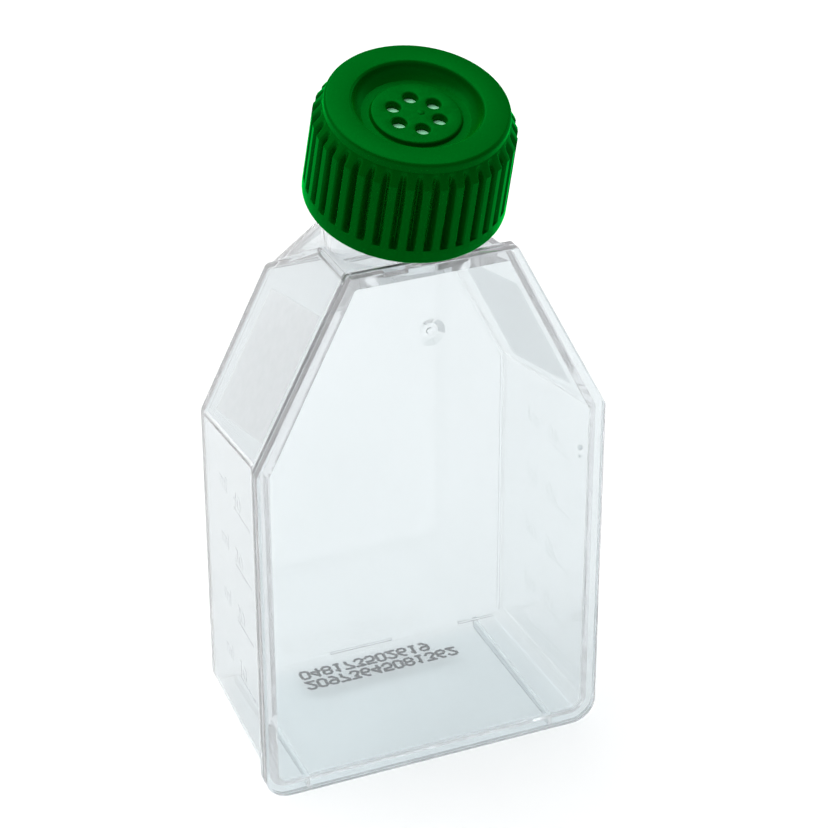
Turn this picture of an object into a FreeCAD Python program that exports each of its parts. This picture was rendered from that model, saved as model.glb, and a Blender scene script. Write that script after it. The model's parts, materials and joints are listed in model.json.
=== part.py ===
import FreeCAD, Part
import math
import os
import Sketcher
from FreeCAD import Placement, Rotation, Vector

# A 25 square centimetre cell culture flask that stands on its end wall.
# X is across the flask, Y runs from the welded plate (-Y) to the growth wall (+Y), Z is up.
# The origin is on the ground, in the middle of the flange's lower edge.
# All lengths are millimetres and all angles are degrees.

SIZES = [
    # the welded rim and the plate that closes the front
    ("flask_depth", 28.2, "front of the plate to the growth wall"),
    ("plate_thick", 1.2, "welded front plate"),
    ("flange_thick", 1.2, "flange of the body behind the plate"),
    ("flange_half_width", 25.0, "half of the rim's width"),
    ("flange_shoulder", 51.4, "height where the rim starts to slant"),
    ("flange_top", 77.2, "height of the rim's top edge"),
    ("flange_angle", 27.4, "slant of the rim from upright"),
    ("flange_corner", 3.6, "radius of the rim's bottom corners"),
    ("gate_height", 67.5, "height of the gate dimple on the plate"),
    ("gate_across", -0.65, "across, of the gate dimple"),
    ("gate_radius", 1.6, "gate dimple"),
    ("gate_depth", 0.45, "gate dimple"),
    ("gate_nub_radius", 0.55, "sprue stub in the dimple"),
    ("gate_nub_height", 0.35, "sprue stub in the dimple"),
    ("notch_centre", -5.4, "across, of the notch in the plate's top edge"),
    ("notch_width", 3.2, "notch in the plate's top edge"),
    ("notch_depth", 0.6, "notch in the plate's top edge"),
    # the walls of the chamber
    ("wall_thick", 1.15, "all walls of the chamber"),
    ("wall_inset", 0.95, "rim's edge to the walls' outer faces"),
    ("front_shoulder", 50.8, "height of the shoulder's start at the rim"),
    ("wall_angle", 26.5, "slant of the shoulder walls from upright"),
    ("back_half_width", 23.0, "half of the growth wall's width"),
    ("back_bottom", 1.5, "height of the growth wall's lower edge"),
    ("back_shoulder", 46.9, "height of the shoulder's start at the back"),
    ("crest_depth", 12.5, "flange to the line where the top wall turns down"),
    ("crest_drop", 1.15, "fall of the top wall from the rim to the crest"),
    ("ramp_drop", 8.1, "fall of the ramp from the crest to the growth wall"),
    ("ramp_sink", 0.5, "ramp's foot below the face that it stands on"),
    ("bottom_corner", 2.6, "radius of the chamber's bottom corners, outside"),
    ("edge_round", 0.7, "radius round the growth wall"),
    ("foot_spread", 18.4, "each foot rib from the middle"),
    ("foot_width", 0.6, "foot rib"),
    ("foot_setback", 0.3, "foot rib's end to the growth wall"),
    # the canted neck
    ("neck_tilt", 17.75, "lean of the neck towards the plate"),
    ("neck_setback", 1.74, "crest to the neck's root, towards the plate"),
    ("neck_rise", 0.27, "crest to the neck's root, upwards"),
    ("neck_length", 21.05, "root to mouth, along the axis"),
    ("neck_sink", 3.0, "neck's foot below its root"),
    ("neck_radius", 10.0, "outside of the neck"),
    ("bore_radius", 8.3, "inside of the neck"),
    ("bore_reach", 6.0, "bore's length below the root"),
    ("lip_round", 0.4, "radius of the mouth's edges"),
    # the vented cap
    ("seal_gap", 0.05, "mouth to the cap's ceiling"),
    ("plug_gap", 0.3, "bore to the cap's plug, on the radius"),
    ("thread_height", 0.5, "height of the neck's thread"),
    ("thread_gap", 0.4, "crest of the neck's thread to the skirt, on the radius"),
    ("cap_height", 15.03, "overall"),
    ("cap_roof", 1.4, "plastic over the mouth"),
    ("disc_radius", 11.85, "smooth disc on top"),
    ("disc_edge_drop", 0.8, "disc's face to the ribs' slope"),
    ("recess_radius", 8.4, "rim of the recess"),
    ("moat_radius", 7.0, "foot of the recess's slope"),
    ("moat_depth", 2.05, "moat round the vented floor below the disc"),
    ("floor_radius", 5.85, "vented floor inside the moat"),
    ("floor_depth", 1.52, "vented floor below the disc"),
    ("floor_thick", 1.0, "vented floor"),
    ("rib_top_radius", 13.03, "over the ribs at their slope"),
    ("rib_foot_radius", 13.24, "over the ribs at the bottom"),
    ("rib_slope_drop", 3.0, "disc's face to the end of the ribs' slope"),
    ("groove_radius", 12.2, "bottom of the grooves"),
    ("groove_width", 0.85, "groove at its bottom"),
    ("groove_flare", 12.0, "lean of each groove side"),
    ("groove_phase", 3.8, "first groove's angle from +X"),
    ("band_height", 2.1, "plain band under the grooves"),
    ("rib_count", 38, "grooves round the skirt"),
    ("disc_round", 0.5, "radius of the disc's edge"),
    ("vent_radius", 1.0, "vent hole"),
    ("vent_circle", 3.05, "radius of the vents' circle"),
    ("vent_phase", 22.9, "first vent's angle from +X"),
    ("vent_count", 6, "vent holes"),
    ("nub_radius", 0.35, "sprue stub on the floor"),
    ("nub_height", 0.25, "sprue stub on the floor"),
    ("nub_across", 0.6, "across, of the sprue stub"),
    ("membrane_gap", 0.03, "vented floor to the membrane"),
    ("membrane_radius", 6.6, "vent membrane"),
    ("membrane_thick", 0.3, "vent membrane"),
]

PARTS = ("flask_body", "top_plate", "cap_shell", "vent_membrane")
NEAR = 1e-4  # points closer than this are on the same face
MAINLY = 0.9  # share of an edge's length that makes it run one way
CUT_PAST = 1.0  # how far a cutter reaches past the outermost face

# Depths along Y that several pieces share, as expressions on the sheet.
FLANGE_FRONT = "(-Sizes.flange_thick / 2)"
WALL_FRONT = "(Sizes.flange_thick / 2)"
PLATE_FRONT = f"({FLANGE_FRONT} - Sizes.plate_thick)"
WALL_BACK = f"({PLATE_FRONT} + Sizes.flask_depth)"
FRONT_HALF_WIDTH = "(Sizes.flange_half_width - Sizes.wall_inset)"
FRONT_TOP = "(Sizes.flange_top - Sizes.wall_inset)"
CREST_TOP = f"({FRONT_TOP} - Sizes.crest_drop)"
RAMP_RUN = f"({WALL_BACK} - Sizes.crest_depth)"
RAMP_SLOPE = f"atan(Sizes.ramp_drop / {RAMP_RUN})"
TOP_SLOPE = f"atan(Sizes.crest_drop / (Sizes.crest_depth - {WALL_FRONT}))"
ROOT_DEPTH = "(Sizes.crest_depth - Sizes.neck_setback)"
ROOT_HEIGHT = f"({CREST_TOP} + Sizes.neck_rise)"
CUT_HEIGHT = "3 * Sizes.flange_top"
CAP_TOP = "(Sizes.seal_gap + Sizes.cap_roof)"
CAP_BOTTOM = f"({CAP_TOP} - Sizes.cap_height)"
MOAT_FLOOR = f"({CAP_TOP} - Sizes.moat_depth)"
VENT_FLOOR = f"({CAP_TOP} - Sizes.floor_depth)"
VENT_CEILING = f"({VENT_FLOOR} - Sizes.floor_thick)"


def make_sheet(doc):
    """Write the driving sizes into a spreadsheet, one alias to a row."""
    sheet = doc.addObject("Spreadsheet::Sheet", "Sizes")
    for row, (alias, value, note) in enumerate(SIZES, start=1):
        sheet.set(f"A{row}", alias)
        sheet.set(f"B{row}", str(value))
        sheet.set(f"C{row}", note)
        sheet.setAlias(f"B{row}", alias)
    doc.recompute()
    return sheet


def make_body(doc, name):
    """Add an empty body with its own label."""
    body = doc.addObject("PartDesign::Body", name)
    body.Label = name
    return body


def origin_feature(body, role):
    """Return the body's own plane or axis of that role."""
    return next(item for item in body.Origin.OriginFeatures if item.Role == role)


def add_sketch(body, name, role, turn_axis=None, turn=None, **offset):
    """Attach a sketch to an origin plane, moved by expressions and turned about one of its axes."""
    sketch = body.newObject("Sketcher::SketchObject", name)
    sketch.AttachmentSupport = (origin_feature(body, role), [""])
    sketch.MapMode = "FlatFace"
    if turn_axis is not None:
        sketch.AttachmentOffset = Placement(Vector(), Rotation(turn_axis, 1.0))
        sketch.setExpression("AttachmentOffset.Rotation.Angle", turn)
    for axis, expression in offset.items():
        sketch.setExpression(f"AttachmentOffset.Base.{axis}", expression)
    return sketch


def evaluate(item, expression):
    """Work an expression on the sheet out to a plain number."""
    value = item.evalExpression(expression)
    return float(getattr(value, "Value", value))


def constrain(sketch, name, kind, *references, value):
    """Add a driving dimension and bind it to an expression."""
    number = evaluate(sketch, value)
    index = sketch.addConstraint(Sketcher.Constraint(kind, *references, number))
    sketch.renameConstraint(index, name)
    sketch.setExpression(f"Constraints.{name}", value)


def draw_polygon(sketch, points):
    """Draw a closed polygon and pin each corner by its two coordinates, given as expressions."""
    corners = []
    for across, up in points:
        corners.append(Vector(evaluate(sketch, across), evaluate(sketch, up), 0.0))
    count = len(corners)
    for index, corner in enumerate(corners):
        sketch.addGeometry(Part.LineSegment(corner, corners[(index + 1) % count]), False)
    for index in range(count):
        sketch.addConstraint(Sketcher.Constraint("Coincident", index, 2, (index + 1) % count, 1))
    for index, (across, up) in enumerate(points):
        constrain(sketch, f"across_{index}", "DistanceX", -1, 1, index, 1, value=across)
        constrain(sketch, f"up_{index}", "DistanceY", -1, 1, index, 1, value=up)


def draw_circle(sketch, radius, across="0", up="0"):
    """Draw a circle whose centre and radius are expressions."""
    centre = Vector(evaluate(sketch, across), evaluate(sketch, up), 0.0)
    index = sketch.addGeometry(Part.Circle(centre, Vector(0, 0, 1), evaluate(sketch, radius)), False)
    constrain(sketch, f"radius_{index}", "Radius", index, value=radius)
    constrain(sketch, f"across_{index}", "DistanceX", -1, 1, index, 3, value=across)
    constrain(sketch, f"up_{index}", "DistanceY", -1, 1, index, 3, value=up)


def draw_ring_of_arcs(sketch, radius):
    """Draw a circle about the origin as four arcs, which meet on the diagonals."""
    reach = evaluate(sketch, radius)
    for index in range(4):
        start = math.radians(45 + 90 * index)
        circle = Part.Circle(Vector(), Vector(0, 0, 1), reach)
        sketch.addGeometry(Part.ArcOfCircle(circle, start, start + math.pi / 2), False)
    for index in range(4):
        sketch.addConstraint(Sketcher.Constraint("Coincident", index, 2, (index + 1) % 4, 1))
    for index in range(3):
        sketch.addConstraint(Sketcher.Constraint("Coincident", index, 3, -1, 1))
    sketch.addConstraint(Sketcher.Constraint("PointOnObject", 3, 3, -2))
    constrain(sketch, "reach", "Radius", 0, value=radius)
    diagonal = f"({radius}) * cos(45)"
    constrain(sketch, "corner_0", "DistanceX", -1, 1, 0, 1, value=diagonal)
    constrain(sketch, "corner_1", "DistanceX", 1, 1, -1, 1, value=diagonal)
    constrain(sketch, "corner_2", "DistanceY", 2, 1, -1, 1, value=diagonal)
    constrain(sketch, "corner_3", "DistanceY", 3, 1, -1, 1, value=diagonal)


def add_pad(body, name, sketch, length, reverse=False):
    """Extrude a sketch along its normal."""
    pad = body.newObject("PartDesign::Pad", name)
    pad.Profile = sketch
    pad.Reversed = reverse
    pad.setExpression("Length", length)
    return pad


def add_pocket(body, name, sketch, length, reverse=False):
    """Cut a sketch's area into the body, against its normal."""
    pocket = body.newObject("PartDesign::Pocket", name)
    pocket.Profile = sketch
    pocket.Reversed = reverse
    pocket.setExpression("Length", length)
    return pocket


def add_loft(body, name, kind, sketches):
    """Join sketches by straight lines, adding or removing what lies between them."""
    loft = body.newObject(kind, name)
    loft.Profile = sketches[0]
    loft.Sections = sketches[1:]
    loft.Ruled = True
    return loft


def add_polar(body, name, feature, count):
    """Repeat a feature round the body's Z axis."""
    pattern = body.newObject("PartDesign::PolarPattern", name)
    pattern.Originals = [feature]
    pattern.Axis = (origin_feature(body, "Z_Axis"), [""])
    pattern.Angle = 360
    pattern.setExpression("Occurrences", count)
    body.Tip = pattern
    return pattern


def edges_where(feature, test):
    """Name the edges of a feature whose ends and middle pass a test."""
    names = []
    for number, edge in enumerate(feature.Shape.Edges, start=1):
        ends = [vertex.Point for vertex in edge.Vertexes]
        if test(edge, ends):
            names.append(f"Edge{number}")
    return names


def add_fillet(body, name, feature, radius, test):
    """Round the edges that pass a test."""
    fillet = body.newObject("PartDesign::Fillet", name)
    fillet.Base = (feature, edges_where(feature, test))
    fillet.setExpression("Radius", radius)
    return fillet


def runs_in_depth(edge, ends):
    """Tell whether an edge runs mainly front to back."""
    if len(ends) < 2:
        return False
    span = ends[1] - ends[0]
    return abs(span.y) > MAINLY * span.Length


def rim_outline(sketch):
    """Draw the rim's outline, which the plate and the flange share."""
    top_half = ("(Sizes.flange_half_width - (Sizes.flange_top - Sizes.flange_shoulder)"
                " * tan(Sizes.flange_angle))")
    draw_polygon(sketch, [
        ("-Sizes.flange_half_width", "0"),
        ("Sizes.flange_half_width", "0"),
        ("Sizes.flange_half_width", "Sizes.flange_shoulder"),
        (top_half, "Sizes.flange_top"),
        (f"-{top_half}", "Sizes.flange_top"),
        ("-Sizes.flange_half_width", "Sizes.flange_shoulder"),
    ])


def taper(depth, start, end):
    """Give the value at one depth of a size that runs straight from the rim to the growth wall."""
    return f"({start} + ({end} - {start}) * ({depth} - {WALL_FRONT}) / ({WALL_BACK} - {WALL_FRONT}))"


def half_width_at(depth):
    """Give half the chamber's outer width at one depth."""
    return taper(depth, FRONT_HALF_WIDTH, "Sizes.back_half_width")


def wall_block(doc, body, name, front, back, inset):
    """Build the tapering block that the walls follow, moved in by inset; returns its last feature."""
    crest = f"(Sizes.crest_depth - {inset} * tan(({RAMP_SLOPE} - {TOP_SLOPE}) / 2))"
    crest_top = f"({CREST_TOP} - {inset} - ({crest} - Sizes.crest_depth) * tan({TOP_SLOPE}))"
    side_view = add_sketch(body, f"{name}_side_view", "YZ_Plane")
    draw_polygon(side_view, [
        (front, f"{taper(front, 'Sizes.wall_inset', 'Sizes.back_bottom')} + {inset}"),
        (back, f"{taper(back, 'Sizes.wall_inset', 'Sizes.back_bottom')} + {inset}"),
        (back, f"{crest_top} - ({back} - {crest}) * tan({RAMP_SLOPE})"),
        (crest, crest_top),
        (front, f"{crest_top} + ({crest} - {front}) * tan({TOP_SLOPE})"),
    ])
    block = add_pad(body, f"{name}_block", side_view, "2 * Sizes.flange_half_width")
    block.Midplane = True
    doc.recompute()

    past = f"({back} + {CUT_PAST})"
    clear = f"(Sizes.flange_half_width + {CUT_PAST})"
    plan_view = add_sketch(body, f"{name}_plan_view", "XY_Plane")
    draw_polygon(plan_view, [
        (f"{half_width_at(front)} - {inset}", front),
        (clear, front),
        (clear, past),
        (f"{half_width_at(past)} - {inset}", past),
    ])
    side = add_pocket(body, f"{name}_side", plan_view, CUT_HEIGHT)
    side.Midplane = True
    doc.recompute()

    lean = (f"(({FRONT_HALF_WIDTH} - Sizes.back_half_width) * cos(Sizes.wall_angle)"
            " + (Sizes.front_shoulder - Sizes.back_shoulder) * sin(Sizes.wall_angle))")
    slant_view = add_sketch(body, f"{name}_slant_view", "XY_Plane", turn_axis=Vector(0, -1, 0),
                            turn="Sizes.wall_angle", x=FRONT_HALF_WIDTH, z="Sizes.front_shoulder")
    draw_polygon(slant_view, [
        (f"-{taper(front, '0', lean)} - {inset}", front),
        (clear, front),
        (clear, past),
        (f"-{taper(past, '0', lean)} - {inset}", past),
    ])
    shoulder = add_pocket(body, f"{name}_shoulder", slant_view, CUT_HEIGHT)
    shoulder.Midplane = True
    doc.recompute()

    both = body.newObject("PartDesign::Mirrored", f"{name}_both_sides")
    both.Originals = [side, shoulder]
    both.MirrorPlane = (origin_feature(body, "YZ_Plane"), [""])
    body.Tip = both
    doc.recompute()
    low = evaluate(side_view, f"Sizes.back_bottom + Sizes.wall_inset + {inset}")
    corners = add_fillet(body, f"{name}_corners", both, f"Sizes.bottom_corner - {inset}",
                         lambda edge, ends: runs_in_depth(edge, ends) and ends[0].z < low)
    doc.recompute()
    return corners


def ramp_section(body, name, inset):
    """Draw the sloping face between the crest and the growth wall, moved in by inset."""
    def half_at(depth, top):
        shoulder = taper(depth, "Sizes.front_shoulder", "Sizes.back_shoulder")
        return f"({half_width_at(depth)} - {inset} - ({top} - {inset} - {shoulder}) * tan(Sizes.wall_angle))"

    sketch = add_sketch(body, name, "XY_Plane", turn_axis=Vector(-1, 0, 0), turn=RAMP_SLOPE,
                        y=f"Sizes.crest_depth - {inset} * sin({RAMP_SLOPE})",
                        z=f"{CREST_TOP} - {inset} * cos({RAMP_SLOPE})")
    near_half = half_at("Sizes.crest_depth", CREST_TOP)
    far_half = half_at(WALL_BACK, f"({CREST_TOP} - Sizes.ramp_drop)")
    length = f"({RAMP_RUN} / cos({RAMP_SLOPE}) - {inset})"
    draw_polygon(sketch, [
        (far_half, length),
        (f"-{far_half}", length),
        (f"-{near_half}", "0"),
        (near_half, "0"),
    ])
    return sketch


def neck_sketch(body, name, rise):
    """Attach a sketch square to the neck's axis, at a distance above the root."""
    return add_sketch(body, name, "XY_Plane", turn_axis=Vector(1, 0, 0), turn="Sizes.neck_tilt",
                      y=f"{ROOT_DEPTH} - ({rise}) * sin(Sizes.neck_tilt)",
                      z=f"{ROOT_HEIGHT} + ({rise}) * cos(Sizes.neck_tilt)")


def ring_section(body, name, radius):
    """Draw the neck's circle at its root as four arcs."""
    sketch = neck_sketch(body, name, "0")
    draw_ring_of_arcs(sketch, radius)
    return sketch


def build_flask_body(doc):
    """The moulded body: growth wall, sides, shoulders, end wall, flange, ramp and canted neck."""
    body = make_body(doc, "flask_body")
    corners = wall_block(doc, body, "wall", WALL_FRONT, WALL_BACK, "0")
    back = evaluate(body, WALL_BACK)
    ramp_foot = evaluate(body, f"{CREST_TOP} - Sizes.ramp_drop")
    add_fillet(body, "back_edges", corners, "Sizes.edge_round",
               lambda edge, ends: all(abs(end.y - back) < NEAR for end in ends)
               and any(end.z < ramp_foot - NEAR for end in ends))
    doc.recompute()

    add_loft(body, "ramp", "PartDesign::AdditiveLoft", [
        ramp_section(body, "ramp_foot", "Sizes.ramp_sink"),
        ring_section(body, "ramp_ring", "Sizes.neck_radius"),
    ])
    doc.recompute()
    neck_circle = neck_sketch(body, "neck_circle", "-Sizes.neck_sink")
    draw_circle(neck_circle, "Sizes.neck_radius")
    add_pad(body, "neck", neck_circle, "Sizes.neck_length + Sizes.neck_sink")
    doc.recompute()

    flange_outline = add_sketch(body, "flange_outline", "XZ_Plane", z=f"-{WALL_FRONT}")
    rim_outline(flange_outline)
    flange = add_pad(body, "flange", flange_outline, "Sizes.flange_thick")
    doc.recompute()
    add_fillet(body, "flange_corners", flange, "Sizes.flange_corner",
               lambda edge, ends: runs_in_depth(edge, ends) and ends[0].z < NEAR)
    doc.recompute()

    chamber = make_body(doc, "chamber")
    wall_block(doc, chamber, "room", FLANGE_FRONT, f"({WALL_BACK} - Sizes.wall_thick)", "Sizes.wall_thick")
    hollow = body.newObject("PartDesign::Boolean", "hollow")
    hollow.Type = "Cut"
    hollow.Group = [chamber]
    doc.recompute()
    add_loft(body, "ramp_room", "PartDesign::SubtractiveLoft", [
        ramp_section(body, "ramp_room_foot", "(Sizes.wall_thick + Sizes.ramp_sink)"),
        ring_section(body, "ramp_room_ring", "Sizes.bore_radius"),
    ])
    doc.recompute()
    mouth_circle = neck_sketch(body, "mouth_circle", "Sizes.neck_length")
    draw_circle(mouth_circle, "Sizes.bore_radius")
    bore = add_pocket(body, "bore", mouth_circle, "Sizes.neck_length + Sizes.bore_reach")
    doc.recompute()
    tilt = evaluate(body, "Sizes.neck_tilt")
    axis = Rotation(Vector(1, 0, 0), tilt).multVec(Vector(0, 0, 1))
    root = Vector(0, evaluate(body, ROOT_DEPTH), evaluate(body, ROOT_HEIGHT))
    length = evaluate(body, "Sizes.neck_length")
    add_fillet(body, "lip", bore, "Sizes.lip_round",
               lambda edge, ends: all(abs((end - root) * axis - length) < NEAR for end in ends))
    doc.recompute()

    for side, name in ((-1, "left_foot"), (1, "right_foot")):
        outline = add_sketch(body, f"{name}_outline", "XY_Plane")
        inner_edge = f"({side} * Sizes.foot_spread - Sizes.foot_width / 2)"
        outer_edge = f"({side} * Sizes.foot_spread + Sizes.foot_width / 2)"
        end = f"({WALL_BACK} - Sizes.foot_setback)"
        draw_polygon(outline, [
            (inner_edge, WALL_FRONT),
            (outer_edge, WALL_FRONT),
            (outer_edge, end),
            (inner_edge, end),
        ])
        add_pad(body, name, outline, "Sizes.back_bottom + Sizes.wall_thick / 2")
        doc.recompute()
    return body


def build_top_plate(doc):
    """The flat plate that is welded over the front of the body."""
    body = make_body(doc, "top_plate")
    outline = add_sketch(body, "plate_outline", "XZ_Plane", z=f"-{FLANGE_FRONT}")
    rim_outline(outline)
    plate = add_pad(body, "plate", outline, "Sizes.plate_thick")
    doc.recompute()
    add_fillet(body, "plate_corners", plate, "Sizes.flange_corner",
               lambda edge, ends: runs_in_depth(edge, ends) and ends[0].z < NEAR)
    doc.recompute()
    gate_circle = add_sketch(body, "gate_circle", "XZ_Plane", z=f"-{PLATE_FRONT}")
    draw_circle(gate_circle, "Sizes.gate_radius", across="Sizes.gate_across", up="Sizes.gate_height")
    add_pocket(body, "gate", gate_circle, "Sizes.gate_depth")
    doc.recompute()
    nub_circle = add_sketch(body, "gate_nub_circle", "XZ_Plane",
                            z=f"-({PLATE_FRONT} + Sizes.gate_depth)")
    draw_circle(nub_circle, "Sizes.gate_nub_radius", across="Sizes.gate_across", up="Sizes.gate_height")
    add_pad(body, "gate_nub", nub_circle, "Sizes.gate_nub_height")
    doc.recompute()
    notch_outline = add_sketch(body, "notch_outline", "XZ_Plane", z=f"-{PLATE_FRONT}")
    draw_polygon(notch_outline, [
        ("Sizes.notch_centre - Sizes.notch_width / 2", "Sizes.flange_top - Sizes.notch_depth"),
        ("Sizes.notch_centre + Sizes.notch_width / 2", "Sizes.flange_top - Sizes.notch_depth"),
        ("Sizes.notch_centre + Sizes.notch_width / 2", "Sizes.flange_top + Sizes.notch_depth"),
        ("Sizes.notch_centre - Sizes.notch_width / 2", "Sizes.flange_top + Sizes.notch_depth"),
    ])
    add_pocket(body, "notch", notch_outline, "Sizes.plate_thick")
    doc.recompute()
    return body


def seat_on_mouth(body):
    """Place a piece of the cap so that its local origin is the middle of the neck's mouth."""
    body.Placement = Placement(Vector(), Rotation(Vector(1, 0, 0), 1.0))
    body.setExpression("Placement.Base.y", f"{ROOT_DEPTH} - Sizes.neck_length * sin(Sizes.neck_tilt)")
    body.setExpression("Placement.Base.z", f"{ROOT_HEIGHT} + Sizes.neck_length * cos(Sizes.neck_tilt)")
    body.setExpression("Placement.Rotation.Angle", "Sizes.neck_tilt")


def build_cap_shell(doc):
    """The ribbed screw cap, with a plug inside the mouth and six vents in its sunk floor."""
    body = make_body(doc, "cap_shell")
    skirt = "(Sizes.neck_radius + Sizes.thread_height + Sizes.thread_gap)"
    plug = "(Sizes.bore_radius - Sizes.plug_gap)"
    profile = add_sketch(body, "cap_profile", "XZ_Plane")
    draw_polygon(profile, [
        ("0", VENT_CEILING),
        (plug, VENT_CEILING),
        (plug, "Sizes.seal_gap"),
        (skirt, "Sizes.seal_gap"),
        (skirt, CAP_BOTTOM),
        ("Sizes.rib_foot_radius", CAP_BOTTOM),
        ("Sizes.rib_top_radius", f"{CAP_TOP} - Sizes.rib_slope_drop"),
        ("Sizes.disc_radius", f"{CAP_TOP} - Sizes.disc_edge_drop"),
        ("Sizes.disc_radius", CAP_TOP),
        ("Sizes.recess_radius", CAP_TOP),
        ("Sizes.moat_radius", MOAT_FLOOR),
        ("Sizes.floor_radius", MOAT_FLOOR),
        ("Sizes.floor_radius", VENT_FLOOR),
        ("0", VENT_FLOOR),
    ])
    turned = body.newObject("PartDesign::Revolution", "turned_cap")
    turned.Profile = profile
    turned.ReferenceAxis = (profile, ["V_Axis"])
    turned.Angle = 360
    doc.recompute()

    disc = evaluate(profile, "Sizes.disc_radius")
    top = evaluate(profile, CAP_TOP)
    add_fillet(body, "disc_edge", turned, "Sizes.disc_round",
               lambda edge, ends: abs(edge.BoundBox.XMax - disc) < NEAR
               and all(abs(end.z - top) < NEAR for end in ends))
    doc.recompute()

    groove_outline = add_sketch(body, "groove_outline", "XY_Plane", turn_axis=Vector(0, 0, 1),
                                turn="Sizes.groove_phase", z=CAP_TOP)
    reach = f"(Sizes.rib_foot_radius + {CUT_PAST})"
    mouth = f"(Sizes.groove_width / 2 + ({reach} - Sizes.groove_radius) * tan(Sizes.groove_flare))"
    draw_polygon(groove_outline, [
        ("Sizes.groove_radius", "-Sizes.groove_width / 2"),
        (reach, f"-{mouth}"),
        (reach, mouth),
        ("Sizes.groove_radius", "Sizes.groove_width / 2"),
    ])
    groove = add_pocket(body, "groove", groove_outline, "Sizes.cap_height - Sizes.band_height")
    doc.recompute()
    add_polar(body, "grooves", groove, "Sizes.rib_count")
    doc.recompute()

    vent_outline = add_sketch(body, "vent_outline", "XY_Plane", z=VENT_FLOOR)
    draw_circle(vent_outline, "Sizes.vent_radius", across="Sizes.vent_circle * cos(Sizes.vent_phase)",
                up="Sizes.vent_circle * sin(Sizes.vent_phase)")
    vent = add_pocket(body, "vent", vent_outline, "Sizes.floor_thick")
    doc.recompute()
    add_polar(body, "vents", vent, "Sizes.vent_count")
    doc.recompute()
    nub_circle = add_sketch(body, "nub_circle", "XY_Plane", z=VENT_FLOOR)
    draw_circle(nub_circle, "Sizes.nub_radius", across="Sizes.nub_across")
    add_pad(body, "nub", nub_circle, "Sizes.nub_height")
    doc.recompute()
    seat_on_mouth(body)
    return body


def build_vent_membrane(doc):
    """The porous disc that is welded under the vented floor of the cap."""
    body = make_body(doc, "vent_membrane")
    circle = add_sketch(body, "membrane_circle", "XY_Plane", z=f"{VENT_CEILING} - Sizes.membrane_gap")
    draw_circle(circle, "Sizes.membrane_radius")
    add_pad(body, "membrane", circle, "Sizes.membrane_thick", reverse=True)
    doc.recompute()
    seat_on_mouth(body)
    return body


def check(doc):
    """Stop if anything in the document failed or any sub-part isn't one valid solid."""
    for item in doc.Objects:
        if "Invalid" in item.State or "Error" in item.State:
            raise RuntimeError(f"{item.Name} is {item.State}")
    for name in PARTS:
        shape = doc.getObject(name).Shape
        if shape.isNull() or not shape.isValid() or len(shape.Solids) != 1:
            raise RuntimeError(f"{name} isn't one valid solid")


def main():
    """Build every sub-part, check the document and write the sub-parts to parts/."""
    doc = FreeCAD.newDocument("cell_culture_flask")
    make_sheet(doc)
    build_flask_body(doc)
    build_top_plate(doc)
    build_cap_shell(doc)
    build_vent_membrane(doc)
    doc.recompute()
    check(doc)
    os.makedirs("parts", exist_ok=True)
    for name in PARTS:
        shape = doc.getObject(name).Shape
        shape.exportStep(f"parts/{name}.step")
        box = shape.BoundBox
        print(f"{name}: {shape.Volume:.1f} mm3, X {box.XMin:.2f} to {box.XMax:.2f},"
              f" Y {box.YMin:.2f} to {box.YMax:.2f}, Z {box.ZMin:.2f} to {box.ZMax:.2f}")


main()
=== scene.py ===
"""A clear cell culture flask with a ribbed green screw cap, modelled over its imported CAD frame."""

import json
import logging
import math
from dataclasses import dataclass
from enum import Enum
from typing import Callable, Iterable, Optional, Sequence, Union

import bmesh
import bpy
from mathutils import Matrix, Vector

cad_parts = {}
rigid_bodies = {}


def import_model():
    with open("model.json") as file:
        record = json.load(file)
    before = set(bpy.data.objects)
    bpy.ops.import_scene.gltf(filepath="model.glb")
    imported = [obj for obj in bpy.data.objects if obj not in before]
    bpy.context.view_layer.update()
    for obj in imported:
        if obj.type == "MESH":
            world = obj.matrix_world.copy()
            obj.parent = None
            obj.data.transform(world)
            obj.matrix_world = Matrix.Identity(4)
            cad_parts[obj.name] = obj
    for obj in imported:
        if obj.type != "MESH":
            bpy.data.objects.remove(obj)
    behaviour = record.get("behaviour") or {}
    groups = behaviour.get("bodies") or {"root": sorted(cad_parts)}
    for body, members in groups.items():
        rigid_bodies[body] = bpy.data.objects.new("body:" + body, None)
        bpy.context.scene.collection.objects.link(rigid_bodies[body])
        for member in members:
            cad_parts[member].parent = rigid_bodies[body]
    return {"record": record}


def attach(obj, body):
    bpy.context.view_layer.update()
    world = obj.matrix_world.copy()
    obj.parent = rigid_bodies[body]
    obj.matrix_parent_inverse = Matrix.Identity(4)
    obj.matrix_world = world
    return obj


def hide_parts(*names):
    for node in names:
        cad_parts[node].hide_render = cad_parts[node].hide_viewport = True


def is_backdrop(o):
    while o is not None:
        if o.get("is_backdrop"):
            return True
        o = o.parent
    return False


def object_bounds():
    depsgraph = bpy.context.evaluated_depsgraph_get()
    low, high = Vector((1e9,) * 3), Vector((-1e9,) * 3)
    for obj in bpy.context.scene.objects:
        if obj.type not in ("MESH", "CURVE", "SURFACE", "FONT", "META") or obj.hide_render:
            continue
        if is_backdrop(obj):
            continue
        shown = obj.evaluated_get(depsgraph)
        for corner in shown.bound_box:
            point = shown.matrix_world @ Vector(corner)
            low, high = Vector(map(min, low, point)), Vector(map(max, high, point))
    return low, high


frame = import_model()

LOG = logging.getLogger("flask")
MM = 0.001

# millimetres: what counts as nothing, and how close two points of a letter are when they become one
TINY = 1e-6
LETTER_MERGE = 1e-5

# steps along each curved part of a letter
LETTER_STEPS = 3

# degrees: edges sharper than this stay sharp in the shading
CLEAR_CREASE = 24.0
CAP_CREASE = 28.0
FILM_CREASE = 30.0

# how much large faces count for the shading beside small ones, where 50 is by their area alone
AREA_WEIGHT = 50

Point = tuple[float, float, float]
Colour = tuple[float, float, float]


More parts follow.
